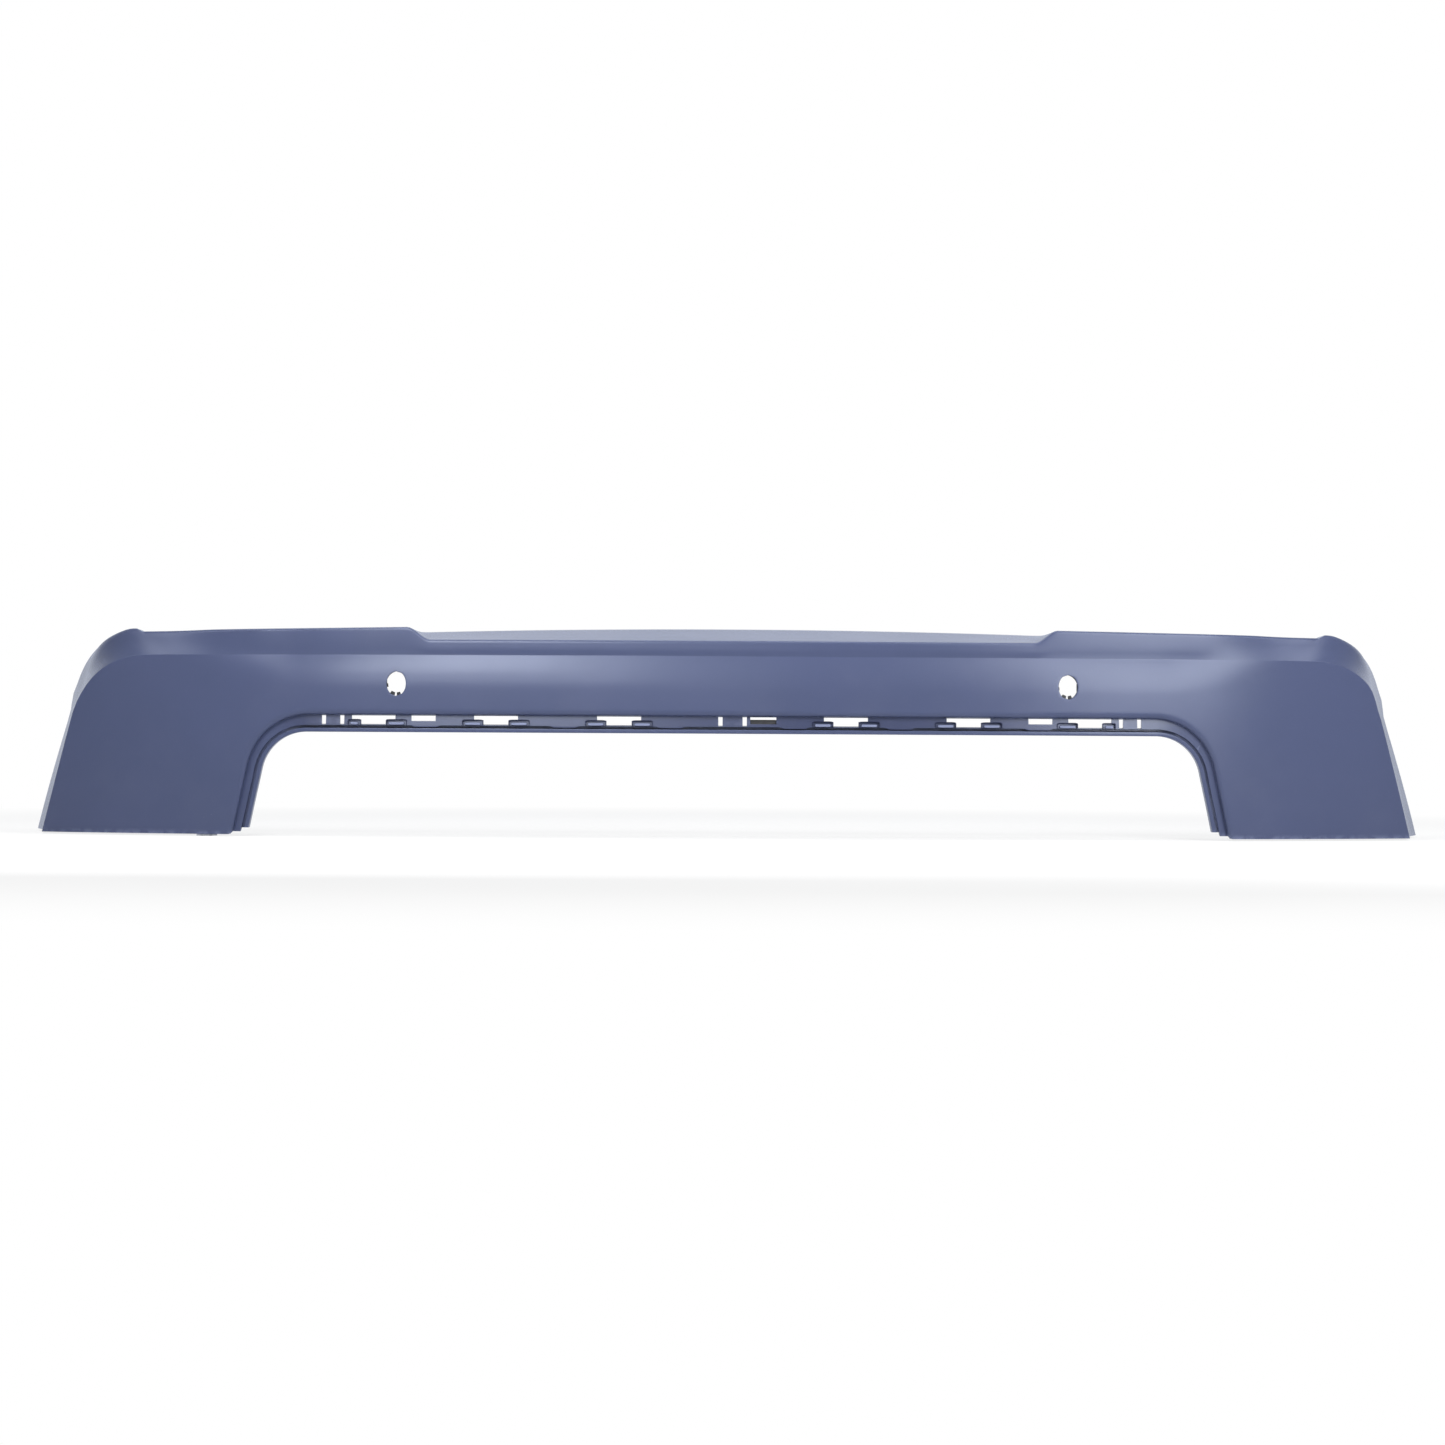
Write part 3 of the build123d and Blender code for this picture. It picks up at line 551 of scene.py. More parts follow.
def signed_volume(points, faces):
    """Six times the volume inside closed quads, from the triple products of a fan of triangles."""
    p = points[faces]
    first = np.einsum("ij,ij->i", p[:, 0], np.cross(p[:, 1], p[:, 2]))
    second = np.einsum("ij,ij->i", p[:, 0], np.cross(p[:, 2], p[:, 3]))
    return first.sum() + second.sum()


def grid_quads(across, along):
    """Quads of a grid of across by along points, numbered along first."""
    i, j = np.meshgrid(np.arange(across - 1), np.arange(along - 1), indexing="ij")
    a = i * along + j
    return np.stack([a, a + along, a + along + 1, a + 1], -1)


def ring_quads(rings, around):
    """Quads between closed rings of points, and the number of every point in its ring."""
    index = np.arange(rings * around).reshape(rings, around)
    on = np.roll(index, -1, axis=1)
    return np.stack([index[:-1], on[:-1], on[1:], index[1:]], -1).reshape(-1, 4), index


def hook_points(middle, width):
    """A hook's hood in metres: rings of a rounded outline that slope in to a flat face.

    A ring of half width w and height h has the points (w cos^p, z0 + h (1 + sin^p) / 2), a
    superellipse, at its own depth in front of the strip."""
    turn = np.linspace(0, 2 * math.pi, 49)[:-1]
    across, up = (np.sign(f) * np.abs(f) ** 0.35 for f in (np.cos(turn), np.sin(turn)))
    inset, high, rise, low = np.array(HOOK_RINGS).T[:, :, None]
    x = middle + (width / 2 - inset) * across
    depth = face_depth(middle, HOOK_LEVEL) + HOOK_DEPTH - HALF_DEPTH
    foot = HOOK_FOOT + low
    z = foot + (high - foot + HOOK_FOOT) * ((1 + up) / 2)
    return np.stack([x, depth - rise + 0 * x, z], -1) * MM


def hook_places():
    """Middle and width of the two hooks at each wide slot: the outermost ones are short."""
    for side in (-1, 1):
        for middle in WIDE_SLOTS:
            for end in (-1, 1):
                short = middle == WIDE_SLOTS[-1] and end == side
                width = HOOK_SHORT if short else HOOK_WIDTH
                yield side * middle + end * (HOOK_GAP + width / 2), width


def make_mesh(name, points, faces, caps=()):
    """Mesh object at the origin from arrays of points and quads, and lists for other faces."""
    mesh = bpy.data.meshes.new(name)
    mesh.from_pydata(points.tolist(), [], faces.tolist() + list(caps))
    mesh.validate()
    mesh.shade_smooth()
    piece = bpy.data.objects.new(name, mesh)
    bpy.context.collection.objects.link(piece)
    return piece


def kept_quads(outer, marks):
    """True for each quad of the grid that no slot of the strip and no notch takes out."""
    centre = (outer[:-1, :-1] + outer[1:, :-1] + outer[1:, 1:] + outer[:-1, 1:]) / 4 / MM
    x, y, z = np.moveaxis(centre, -1, 0)
    row = np.arange(x.shape[1])[None, :]
    in_strip = (row >= marks["strip"]) & (row < marks["step"])
    keep = np.ones(x.shape, bool)
    slots = [(s * m, w, t, h) for m, w, t, h in SIDE_SLOTS for s in (-1, 1)] + [CLIP_SLOT]
    for middle, width, top, height in slots:
        keep &= ~((np.abs(x - middle) < width / 2) & (z < top) & (z > top - height) & in_strip)
    # the notch where the wheel arch edge meets the body seam
    near = (np.abs(z - NOTCH_HEIGHT) < NOTCH_SIZE / 2) & (np.abs(x) > NOTCH_X)
    near &= y > ARCH_FOOT + ARCH_GAIN - HALF_DEPTH - NOTCH_SIZE
    return keep & ~(near & (row > marks["upper"]))


def skin_depth(x, z):
    """Depth of the beam's face with its swell, all in metres."""
    below = CREASE_LINE[1] - z / MM
    return (face_depth(x / MM, z / MM) + bulge(below, SWELL) - HALF_DEPTH) * MM


def plane_depth(border):
    """Depth over x and z of the plane through a block's border, by least squares."""
    system = np.stack([np.ones(len(border)), border[:, 0], border[:, 2]], 1)
    fit = np.linalg.lstsq(system, border[:, 1], rcond=None)[0]
    return lambda x, z: fit[0] + fit[1] * x + fit[2] * z


def sensor_blocks(outer, marks):
    """Blocks of the grid and places of the two sensor holes."""
    face = slice(marks["face"], marks["crease"])
    x, z = outer[:, 0, 0] / MM, outer[len(outer) // 2, face, 2] / MM
    rows = [marks["face"] + np.abs(z - level).argmin() for level in SENSOR_ROWS]
    for s in (-1, 1):
        ends = [np.abs(x - end).argmin() for end in both_ends([s * SENSOR_X], SENSOR_BLOCK)]
        yield *ends, *rows, (s * SENSOR_X, SENSOR_Z)


def screw_blocks(outer, marks):
    """Blocks of the grid and places of the screw holes in the shelf's and the arches' flanges."""
    flange = marks["flange"]
    x, z = outer[:, 0, 0] / MM, outer[:, flange, 2] / MM
    rows = (flange + 1, flange + 3)
    for s in (-1, 1):
        for spot in TOP_HOLES:
            ends = [np.abs(x - end).argmin() for end in both_ends([s * spot], TOP_BLOCK)]
            yield *ends, *rows, (s * spot, shelf_height(spot) - TOP_DROP)
        other = np.sign(outer[:, flange, 0]) != s
        for spot in ARCH_HOLES:
            ends = both_ends([spot], ARCH_BLOCK)
            ends = sorted(np.where(other, FAR, np.abs(z - end)).argmin() for end in ends)
            yield *ends, *rows, (s * (leg_x(OUTER_LINE[0], spot) - ARCH_INSET), spot)


def build_shell(sizes):
    """The whole moulding: sections of both halves joined into one grid, with slots and holes."""
    station = half_stations()
    halves = []
    for hand in (-1, 1):
        s = Sections(station, hand)
        outer_rows, inner_rows, marks = skin_profile(s, sizes)
        mirror = np.array([hand, 1.0, 1.0])
        halves.append([place(s, r, marks) * mirror for r in (outer_rows, inner_rows)])
    outer, inner = (np.concatenate([left[:0:-1], right]) for left, right in zip(*halves))
    across, rows = outer.shape[:2]
    shell = {"outer": outer.reshape(-1, 3), "inner": inner.reshape(-1, 3)}
    keep = kept_quads(outer, marks)
    holes = [(*block, SENSOR_HOLE, skin_depth, 7, 0.7) for block in sensor_blocks(outer, marks)]
    holes += [(*block, SCREW_HOLE, None, 3, 0.2) for block in screw_blocks(outer, marks)]
    for first, last, low, high, *_rest in holes:
        keep[first:last, low:high] = False
    shell["quads"] = grid_quads(across, rows)[keep]
    for first, last, low, high, spot, radii, depth_of, steps, edge in holes:
        loop = block_loop(first, last, low, high, rows)
        depth_of = depth_of or plane_depth(shell["outer"][loop])
        spot, radii = np.array(spot) * MM, np.array(radii) * MM
        ring_patch(shell, loop, spot, radii, (0, 2), depth_of, steps, edge * MM)
    # painted shade in the groove and on the strip: full in the beam's groove, weaker in the legs'
    # groove, none on the legs' strip
    in_beam = 1 - smooth(np.abs(outer[:, :1, 0] / MM), *SHADE_FADE)
    painted_shade = np.zeros((across, rows))
    painted_shade[:, marks["groove"] : marks["strip"] - 1] = LEG_GROOVE_SHADE + (1 - LEG_GROOVE_SHADE) * in_beam
    painted_shade[:, marks["strip"] - 1 : marks["step"]] = STRIP_SHADE * in_beam
    shell["groove"] = np.zeros(len(shell["outer"]))
    shell["groove"][: across * rows] = painted_shade.ravel()
    return shell


def build_ledge(side):
    """Ledge at a leg's foot: a grid between the skin's curved front edge and a line behind it,
    with the round hole for the trim's screw."""
    start, end = FACE_LINE[0] + LEDGE_GAP, CREASE_LINE[0] - LEDGE_GAP
    hole_x = FACE_LINE[0] + LEDGE_HOLE[0]
    hole_y = face_depth(hole_x, REST) + LEDGE_HOLE[1]
    block = both_ends([hole_x], LEDGE_BLOCK)
    x = spread([start, *block, end], start, end, 8.0, 3.0)
    gx, gv = np.meshgrid(x, LEDGE_ROWS, indexing="ij")
    y = face_depth(gx, REST) + WALL / 2 + LEDGE_WIDTH * gv - HALF_DEPTH
    outer = np.stack([side * gx, y, np.full_like(gx, REST)], -1) * MM
    inner = outer + np.array([0.0, 0.0, WALL]) * MM
    first, last = (int(np.abs(x - spot).argmin()) for spot in block)
    keep = np.ones((len(x) - 1, len(LEDGE_ROWS) - 1), bool)
    keep[first:last, 2:5] = False
    quads = grid_quads(len(x), len(LEDGE_ROWS))[keep]
    shell = {"outer": outer.reshape(-1, 3), "inner": inner.reshape(-1, 3), "quads": quads}
    loop = block_loop(first, last, 2, 5, len(LEDGE_ROWS))
    centre = (side * hole_x * MM, (hole_y - HALF_DEPTH) * MM)
    radii = np.array(SCREW_HOLE) * MM
    ring_patch(shell, loop, centre, radii, (0, 1), lambda u, _w: REST * MM + 0 * u, 3, 0.2 * MM)
    return shell


def point_values(piece, name, values):
    """Stores one number per point, which the piece's material reads."""
    layer = piece.data.attributes.new(name, "FLOAT", "POINT")
    layer.data.foreach_set("value", np.asarray(values, np.float32))


# ---- finishes --------------------------------------------------------------------------------
def new_group(name, values, outputs):
    """Empty shader node group that takes a vector and named values, and gives named values."""
    group = bpy.data.node_groups.new(name, "ShaderNodeTree")
    socket = group.interface.new_socket
    socket(name="Vector", in_out="INPUT", socket_type="NodeSocketVector")
    for label, default in values.items():
        put = socket(name=label, in_out="INPUT", socket_type="NodeSocketFloat")
        put.default_value = default
    for label in outputs:
        socket(name=label, in_out="OUTPUT", socket_type="NodeSocketFloat")
    given = group.nodes.new("NodeGroupInput").outputs
    return group, given, group.nodes.new("NodeGroupOutput").inputs


class Nodes:
    """Short calls for adding and joining the nodes of one tree."""

    def __init__(self, tree):
        self.tree = tree

    def put(self, socket, value):
        if isinstance(value, bpy.types.NodeSocket):
            self.tree.links.new(value, socket)
        elif value is not None:
            socket.default_value = (*value, 1) if isinstance(value, Color) else value

    def add(self, kind, output, settings=None, **values):
        """Adds a node, with settings for the node itself and values for its inputs."""
        node = self.tree.nodes.new("ShaderNode" + kind)
        for label, setting in (settings or {}).items():
            setattr(node, label, setting)
        for label, value in values.items():
            self.put(node.inputs[label.replace("_", " ")], value)
        return node.outputs[output]

    def coords(self):
        return self.add("TexCoord", "Object")

    def noise(self, vector, scale, detail=2.0, roughness=0.5):
        values = {"Vector": vector, "Scale": scale, "Detail": detail, "Roughness": roughness}
        return self.add("TexNoise", "Fac", **values)

    def cells(self, vector, scale, feature="F1"):
        settings = {"feature": feature}
        return self.add("TexVoronoi", "Distance", settings, Vector=vector, Scale=scale)

    def math(self, operation, a, b=None, clamp=False):
        node = self.tree.nodes.new("ShaderNodeMath")
        node.operation = operation
        node.use_clamp = clamp
        self.put(node.inputs[0], a)
        self.put(node.inputs[1], b)
        return node.outputs[0]

    def ramp(self, value, low, high, to_low=0.0, to_high=1.0):
        """Smooth step of the value from low to high, turned into to_low to to_high."""
        ends = {"From_Min": low, "From_Max": high, "To_Min": to_low, "To_Max": to_high}
        settings = {"interpolation_type": "SMOOTHSTEP"}
        return self.add("MapRange", "Result", settings, Value=value, **ends)

    def mix(self, factor, a, b, kind="RGBA"):
        return self.add("Mix", "Result", {"data_type": kind}, Factor=factor, A=a, B=b)

    def attribute(self, name):
        return self.add("Attribute", "Fac", {"attribute_name": name})

    def use(self, name, **values):
        """Outputs of a shared group, which is made when it is first used."""
        node = self.tree.nodes.new("ShaderNodeGroup")
        node.node_tree = bpy.data.node_groups.get(name) or SHARED_GROUPS[name](name)
        for label, value in values.items():
            self.put(node.inputs[label], value)
        return node.outputs


def moulded_grain_group(name):
    """Height and roughness of moulded plastic: fine leathered cells and slow flow marks."""
    values = {"Scale": 900.0, "Roughness": 0.55}
    group, given, gives = new_group(name, values, ("Height", "Roughness"))
    n = Nodes(group)
    cell = n.cells(given["Vector"], given["Scale"], "SMOOTH_F1")
    flow = n.noise(given["Vector"], 14.0, 3.0, 0.6)
    n.put(gives["Height"], n.math("MULTIPLY", cell, n.ramp(flow, 0.2, 0.8, 0.7, 1.0)))
    uneven = n.ramp(flow, 0.3, 0.7, -0.06, 0.08)
    n.put(gives["Roughness"], n.math("ADD", given["Roughness"], uneven, True))
    return group


def mask_group(name):
    """Empty group with a place and an amount that gives a mask."""
    group, given, gives = new_group(name, {"Amount": 0.5}, ("Mask",))
    return group, Nodes(group), given["Vector"], given["Amount"], gives["Mask"]


def dust_group(name):
    """Mask of fine settled dust and handling marks: sparse soft blotches plus fine specks."""
    group, n, where, amount, mask = mask_group(name)
    blotch = n.ramp(n.noise(where, 5.0, 4.0, 0.6), 0.45, 0.75)
    speck = n.ramp(n.noise(where, 420.0, 2.0, 0.7), 0.55, 0.8)
    both = n.math("ADD", n.math("MULTIPLY", blotch, 0.6), n.math("MULTIPLY", speck, 0.4), True)
    n.put(mask, n.math("MULTIPLY", both, amount, True))
    return group


def edge_rub_group(name):
    """Mask of edges that stand out, from the mesh's pointiness, broken up by noise."""
    group, n, where, amount, mask = mask_group(name)
    edge = n.ramp(n.add("NewGeometry", "Pointiness"), 0.52, 0.60)
    broken = n.ramp(n.noise(where, 90.0, 3.0, 0.6), 0.35, 0.65)
    n.put(mask, n.math("MULTIPLY", n.math("MULTIPLY", edge, broken), amount))
    return group


SHARED_GROUPS = {
    "Moulded grain": moulded_grain_group,
    "Dust and handling": dust_group,
    "Edge rub": edge_rub_group,
}


def new_material(name, metallic=0.0, specular=0.5, tint=Color((1, 1, 1))):
    """Material with one Principled shader, its constants set on the shader's own sockets."""
    material = bpy.data.materials.new(name)
    material.use_nodes = True
    shader = material.node_tree.nodes["Principled BSDF"].inputs
    n = Nodes(material.node_tree)
    n.put(shader["Metallic"], metallic)
    n.put(shader["Specular IOR Level"], specular)
    n.put(shader["Specular Tint"], tint)
    return material, shader, n, n.coords()


def add_bump(n, shader, height, distance):
    values = {"Strength": 1.0, "Distance": distance, "Height": height}
    n.put(shader["Normal"], n.add("Bump", "Normal", **values))


def primer_material(name, finish):
    """Satin primer outside, bare moulded plastic inside, with overspray where they meet; painted
    shade in the groove, on the strip and round the hooks, and a painted highlight on the hooks'
    faces.
    """
    material, shader, n, where = new_material(name, specular=0.45, tint=finish.sheen)
    coat = n.attribute("coat")
    groove = n.attribute("groove")
    spray = n.noise(where, 60.0, 4.0, 0.6)
    drift = n.math("MULTIPLY", n.math("SUBTRACT", spray, 0.5), 0.5)
    coated = n.ramp(n.math("ADD", coat, drift), 0.35, 0.65)
    cloud = n.noise(where, 7.0, 3.0, 0.55)
    tone = n.mix(n.ramp(cloud, 0.3, 0.7), finish.primer, finish.primer_shade)
    dust = n.use("Dust and handling", Vector=where, Amount=0.03)["Mask"]
    tone = n.mix(dust, tone, finish.dust)
    rub = n.use("Edge rub", Vector=where, Amount=0.25)["Mask"]
    tone = n.mix(rub, tone, finish.primer_edge_and_highlight)
    # painted shade: the groove attribute darkens the groove, the strip and the hooks' outlines
    # towards the groove colour
    tone = n.mix(n.math("MULTIPLY", groove, 0.95), tone, finish.groove)
    # painted highlight: the hooks' flat faces are lightened towards the primer's edge colour
    hook_highlight = n.math("MULTIPLY", n.attribute("hook_highlight"), 0.5)
    tone = n.mix(hook_highlight, tone, finish.primer_edge_and_highlight)
    grain = n.use("Moulded grain", Vector=where, Scale=1400.0, Roughness=0.6)
    flow = n.ramp(n.noise(where, 9.0, 3.0, 0.6), 0.3, 0.7)
    inside = n.mix(flow, finish.bare, finish.bare_shade)
    n.put(shader["Base Color"], n.mix(coated, inside, tone))
    peel = n.noise(where, 260.0, 2.0, 0.5)
    satin = n.ramp(cloud, 0.3, 0.7, 0.22, 0.26)
    satin = n.math("ADD", satin, n.math("MULTIPLY", dust, 0.8), True)
    n.put(shader["Roughness"], n.mix(coated, grain["Roughness"], satin, "FLOAT"))
    height = n.mix(coated, grain["Height"], n.math("MULTIPLY", peel, 0.03), "FLOAT")
    add_bump(n, shader, height, 0.00006)
    return material


def black_plastic_material(name, finish):
    """Grained black moulding with a little dust and paler worn edges."""
    material, shader, n, where = new_material(name, specular=0.3)
    grain = n.use("Moulded grain", Vector=where, Scale=1800.0, Roughness=0.5)
    dust = n.use("Dust and handling", Vector=where, Amount=0.04)["Mask"]
    rub = n.use("Edge rub", Vector=where, Amount=0.5)["Mask"]
    tone = n.mix(dust, finish.black, finish.dust)
    n.put(shader["Base Color"], n.mix(rub, tone, finish.black_edge))
    n.put(shader["Roughness"], grain["Roughness"])
    add_bump(n, shader, grain["Height"], 0.00008)
    return material


def foam_material(name, finish):
    """Open-pored foam tape: two sizes of cells darken the colour and dent the surface."""
    material, shader, n, where = new_material(name, specular=0.25)
    pores = n.ramp(n.cells(where, 1600.0), 0.1, 0.55)
    large = n.ramp(n.cells(where, 500.0), 0.05, 0.4)
    both = n.math("MULTIPLY", pores, large)
    n.put(shader["Base Color"], n.mix(both, finish.foam_pore, finish.foam))
    n.put(shader["Roughness"], n.ramp(both, 0.0, 1.0, 0.98, 0.85))
    add_bump(n, shader, both, 0.0002)
    return material


def steel_material(name, finish):
    """Dark zinc over spring steel: crystal patches, fine brushing and worn bright edges."""
    material, shader, n, where = new_material(name, metallic=1.0)
    patch = n.ramp(n.cells(where, 260.0), 0.1, 0.6)
    brushed = n.noise(where, 700.0, 4.0, 0.7)
    rub = n.use("Edge rub", Vector=where, Amount=0.8)["Mask"]
    tone = n.mix(patch, finish.zinc, finish.zinc_light)
    n.put(shader["Base Color"], n.mix(rub, tone, finish.steel))
    n.put(shader["Roughness"], n.ramp(brushed, 0.3, 0.7, 0.34, 0.5))
    add_bump(n, shader, brushed, 0.00002)
    return material


FINISHES = {
    "Satin primer": primer_material,
    "Black moulding": black_plastic_material,
    "Foam tape": foam_material,
    "Dark zinc steel": steel_material,
}


def paint(piece, name):
    """Gives a piece one of the finishes, which is made when it is first used."""
    finish = bpy.context.scene.bumper_finish
    material = bpy.data.materials.get(name) or FINISHES[name](name, finish)
    piece.data.materials.append(material)


# ---- settings --------------------------------------------------------------------------------
def number(label, text, default, **more):
    return FloatProperty(name=label, description=text, default=default, **more)


def length(label, text, default):
    return number(label, text, default, unit="LENGTH", subtype="DISTANCE", min=0)


def angle(label, text, degrees):
    return number(label, text, math.radians(degrees), subtype="ANGLE")


def colour(label, text, default):
    return FloatVectorProperty(
        name=label, description=text, subtype="COLOR", size=3, min=0, max=1, default=default
    )


class CoverSizes(PropertyGroup):
    roll: length("Face roll", "Radius with which the face rolls in to the strip", 6.5 * MM)
    crease: length("Crease radius", "Reach of the rounding at the crease", 0.7 * MM)
    crest: length("Shelf edge", "Reach of the rounding at the shelf's front edge", 4.5 * MM)
    fold: length("Flange fold", "Reach of the rounding where a flange turns", 3.2 * MM)
    ear: length("Ear height", "How far the corner's ear stands out", 6.5 * MM)
    ear_rise_angle: number("Ear rise", "Degrees of the corner fan over which the ear rises", 3.2)
    ear_drop_angle: number("Ear drop", "Degrees over which it falls to the top edge", 0.9)
    small_edge: length("Small edges", "Edge rounding of clips and holders", 0.3 * MM)


class CoverFinish(PropertyGroup):
    primer: colour("Primer", "Main tone of the satin primer", (0.042, 0.052, 0.106))
    primer_shade: colour("Primer shade", "Darker cloud of the primer", (0.039, 0.049, 0.100))
    # worn edges, and also the painted highlight on the hooks' flat faces
    primer_edge_and_highlight: colour("Primer edge", "Thinner primer on edges", (0.24, 0.27, 0.40))
    sheen: colour("Primer sheen", "Tint of the primer's gloss", (0.80, 0.86, 1.0))
    # painted shade laid into the groove, on the strip and round the hooks' outlines
    groove: colour("Groove", "Thin primer deep in the lip's groove", (0.009, 0.011, 0.036))
    bare: colour("Bare plastic", "Unpainted inside", (0.045, 0.047, 0.055))
    bare_shade: colour("Bare plastic shade", "Flow marks inside", (0.034, 0.036, 0.043))
    dust: colour("Dust", "Settled dust", (0.42, 0.41, 0.40))
    black: colour("Black moulding", "Sensor holders and middle clip", (0.012, 0.012, 0.014))
    black_edge: colour("Black edge", "Rubbed edges of the black mouldings", (0.05, 0.05, 0.055))
    foam: colour("Foam", "Foam tape", (0.06, 0.06, 0.065))
    foam_pore: colour("Foam pores", "Bottom of the foam's pores", (0.012, 0.012, 0.013))
    zinc: colour("Zinc", "Dark plating", (0.14, 0.14, 0.15))
    zinc_light: colour("Zinc light", "Lighter crystals of the plating", (0.24, 0.24, 0.25))
    steel: colour("Steel", "Bare steel on rubbed edges", (0.55, 0.55, 0.56))


class StudioSettings(PropertyGroup):
    distance: length("Camera distance", "From the cover's face to the camera", 3.92)
    lens: number("Lens", "Focal length in millimetres", 77.2)
    turn: angle("Camera turn", "To the right of straight ahead", 0.70)
    tilt: angle("Camera tilt", "Above level", 0.50)
    roll: angle("Camera roll", "Anticlockwise", 0.31)
    floor: colour("Floor", "Floor and backdrop", (0.92, 0.92, 0.92))
    floor_glow: number("Floor glow", "Share of plain white near the cover", 0.75)
    overhead: number("Overhead power", "Power of the two overhead lamps", 11.0, subtype="POWER")
    shine: number("Softboxes", "Radiance of the softboxes, as a factor", 1.0)
    ambient: number("Surroundings", "Strength of the plain surroundings", 0.11)


# ---- pieces ----------------------------------------------------------------------------------
class BUMPER_OT_cover(Operator):
    """Build the moulded cover: skin, lip, strip, hooks and foot ledges"""

    bl_idname = "bumper.build_cover"
    bl_label = "Moulded cover"

    def execute(self, context):
        # every part with its values per point: coat, painted shade and painted highlight
        shell = build_shell(context.scene.bumper_sizes)
        parts = [thicken(shell)]
        none = np.zeros(len(shell["outer"]))
        values = [[np.append(v, none) for v in (1 + none, shell["groove"], none)]]
        for side in (-1, 1):
            points, faces = thicken(build_ledge(side))
            parts.append((points, faces))
            below = 1.0 * (points[:, 2] < (REST + 1.0) * MM)
            values.append((below, 0 * below, 0 * below))
        caps = []
        for middle, width in hook_places():
            rings = hook_points(middle, width)
            quads, index = ring_quads(*rings.shape[:2])
            index += sum(len(points) for points, _faces in parts)
            caps += [index[-1].tolist(), index[0][::-1].tolist()]
            parts.append((rings.reshape(-1, 3), quads))
            # painted shade on the hood's outline rings, and painted highlight on its last two
            # rings, the flat face
            dark = np.repeat(np.arange(len(rings)) < len(rings) - 2, rings.shape[1]) * 1.0
            values.append((1 + 0 * dark, dark, 1 - dark))
        starts = np.cumsum([0] + [len(points) for points, _faces in parts])
        points = np.concatenate([points for points, _faces in parts])
        faces = np.concatenate([part[1] + start for part, start in zip(parts, starts)])
        cover = make_mesh("moulded_cover", points, faces, caps)
        for layer, columns in zip(("coat", "groove", "hook_highlight"), zip(*values)):
            point_values(cover, layer, np.concatenate(columns))
        cover.data.set_sharp_from_angle(angle=math.radians(38))
        paint(cover, "Satin primer")
        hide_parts("cover_shell")
        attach(cover, "root")
        return {"FINISHED"}


def eased_copy(node, name, width):
    """Copy of a CAD solid with its points merged and its edges rounded."""
    sharp = math.radians(35)
    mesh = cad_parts[node].data.copy()
    mesh.materials.clear()
    work = bmesh.new()
    work.from_mesh(mesh)
    bmesh.ops.remove_doubles(work, verts=work.verts, dist=1e-6)
    work.to_mesh(mesh)
    work.free()
    mesh.name = name
    mesh.shade_smooth()
    mesh.set_sharp_from_angle(angle=sharp)
    piece = bpy.data.objects.new(name, mesh)
    bpy.context.collection.objects.link(piece)
    soft = piece.modifiers.new("Soft edges", "BEVEL")
    soft.width = width
    soft.segments = 2
    soft.limit_method = "ANGLE"
    soft.angle_limit = sharp
    soft.harden_normals = True
    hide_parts(node)
    return piece


class BUMPER_OT_clips(Operator):
    """Build the middle clip in its slot and the steel clip on the left foot"""

    bl_idname = "bumper.build_clips"
    bl_label = "Clips"

    def execute(self, context):
        edge = context.scene.bumper_sizes.small_edge
        clip = eased_copy("centre_clip", "middle_clip", edge)
        paint(clip, "Black moulding")
        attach(clip, "root")
        nut = eased_copy("edge_clip", "foot_clip", edge * 0.5)
        paint(nut, "Dark zinc steel")
        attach(nut, "root")
        return {"FINISHED"}


class BUMPER_OT_holders(Operator):
    """Build the sensor holders behind the two oval holes"""

    bl_idname = "bumper.build_holders"
    bl_label = "Sensor holders"

    def execute(self, context):
        edge = context.scene.bumper_sizes.small_edge
        for side in ("left", "right"):
            holder = eased_copy(f"sensor_bracket_{side}", f"sensor_holder_{side}", edge)
            paint(holder, "Black moulding")
            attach(holder, "root")
        return {"FINISHED"}


class BUMPER_OT_latches(Operator):
    """Build the four sprung tongues that hold the sensors"""

    bl_idname = "bumper.build_latches"
    bl_label = "Sensor latches"

    def execute(self, context):
        edge = context.scene.bumper_sizes.small_edge * 0.6
        for side in ("left", "right"):
            for end in ("inner", "outer"):
                name = f"sensor_latch_{side}_{end}"
                tongue = eased_copy(name, f"sensor_tongue_{side}_{end}", edge)
                paint(tongue, "Black moulding")
                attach(tongue, f"latch_{side}_{end}")
        return {"FINISHED"}


class BUMPER_OT_tapes(Operator):
    """Build the foam tape pads between the holders and the skin"""

    bl_idname = "bumper.build_tapes"
    bl_label = "Foam tapes"

    def execute(self, context):
        for side in ("left", "right"):
            tape = eased_copy(f"sensor_tape_{side}", f"foam_pads_{side}", 0.15 * MM)
            paint(tape, "Foam tape")
            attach(tape, "root")
        return {"FINISHED"}


# ---- studio ----------------------------------------------------------------------------------
# Softboxes in metres: name, (left, right), depth, (bottom, top), radiance.
SOFTBOXES = (
    ("softbox_left_top", (-0.95, -0.42), -1.38, (0.80, 2.00), 9.2),
    ("softbox_left_middle", (-0.95, -0.20), -1.38, (0.44, 1.60), 4.6),
    ("softbox_left_low", (-0.95, 0.12), -1.38, (0.15, 1.60), 1.2),
    ("softbox_right_top", (0.85, 1.45), -1.60, (0.40, 2.10), 7.4),
    ("softbox_right", (0.85, 1.50), -1.60, (0.11, 2.10), 5.9),
    ("softbox_far_right", (1.78, 2.75), -1.50, (0.86, 1.90), 4.0),
    ("softbox_far_left", (-2.65, -1.50), -1.50, (0.86, 1.90), 3.4),
)
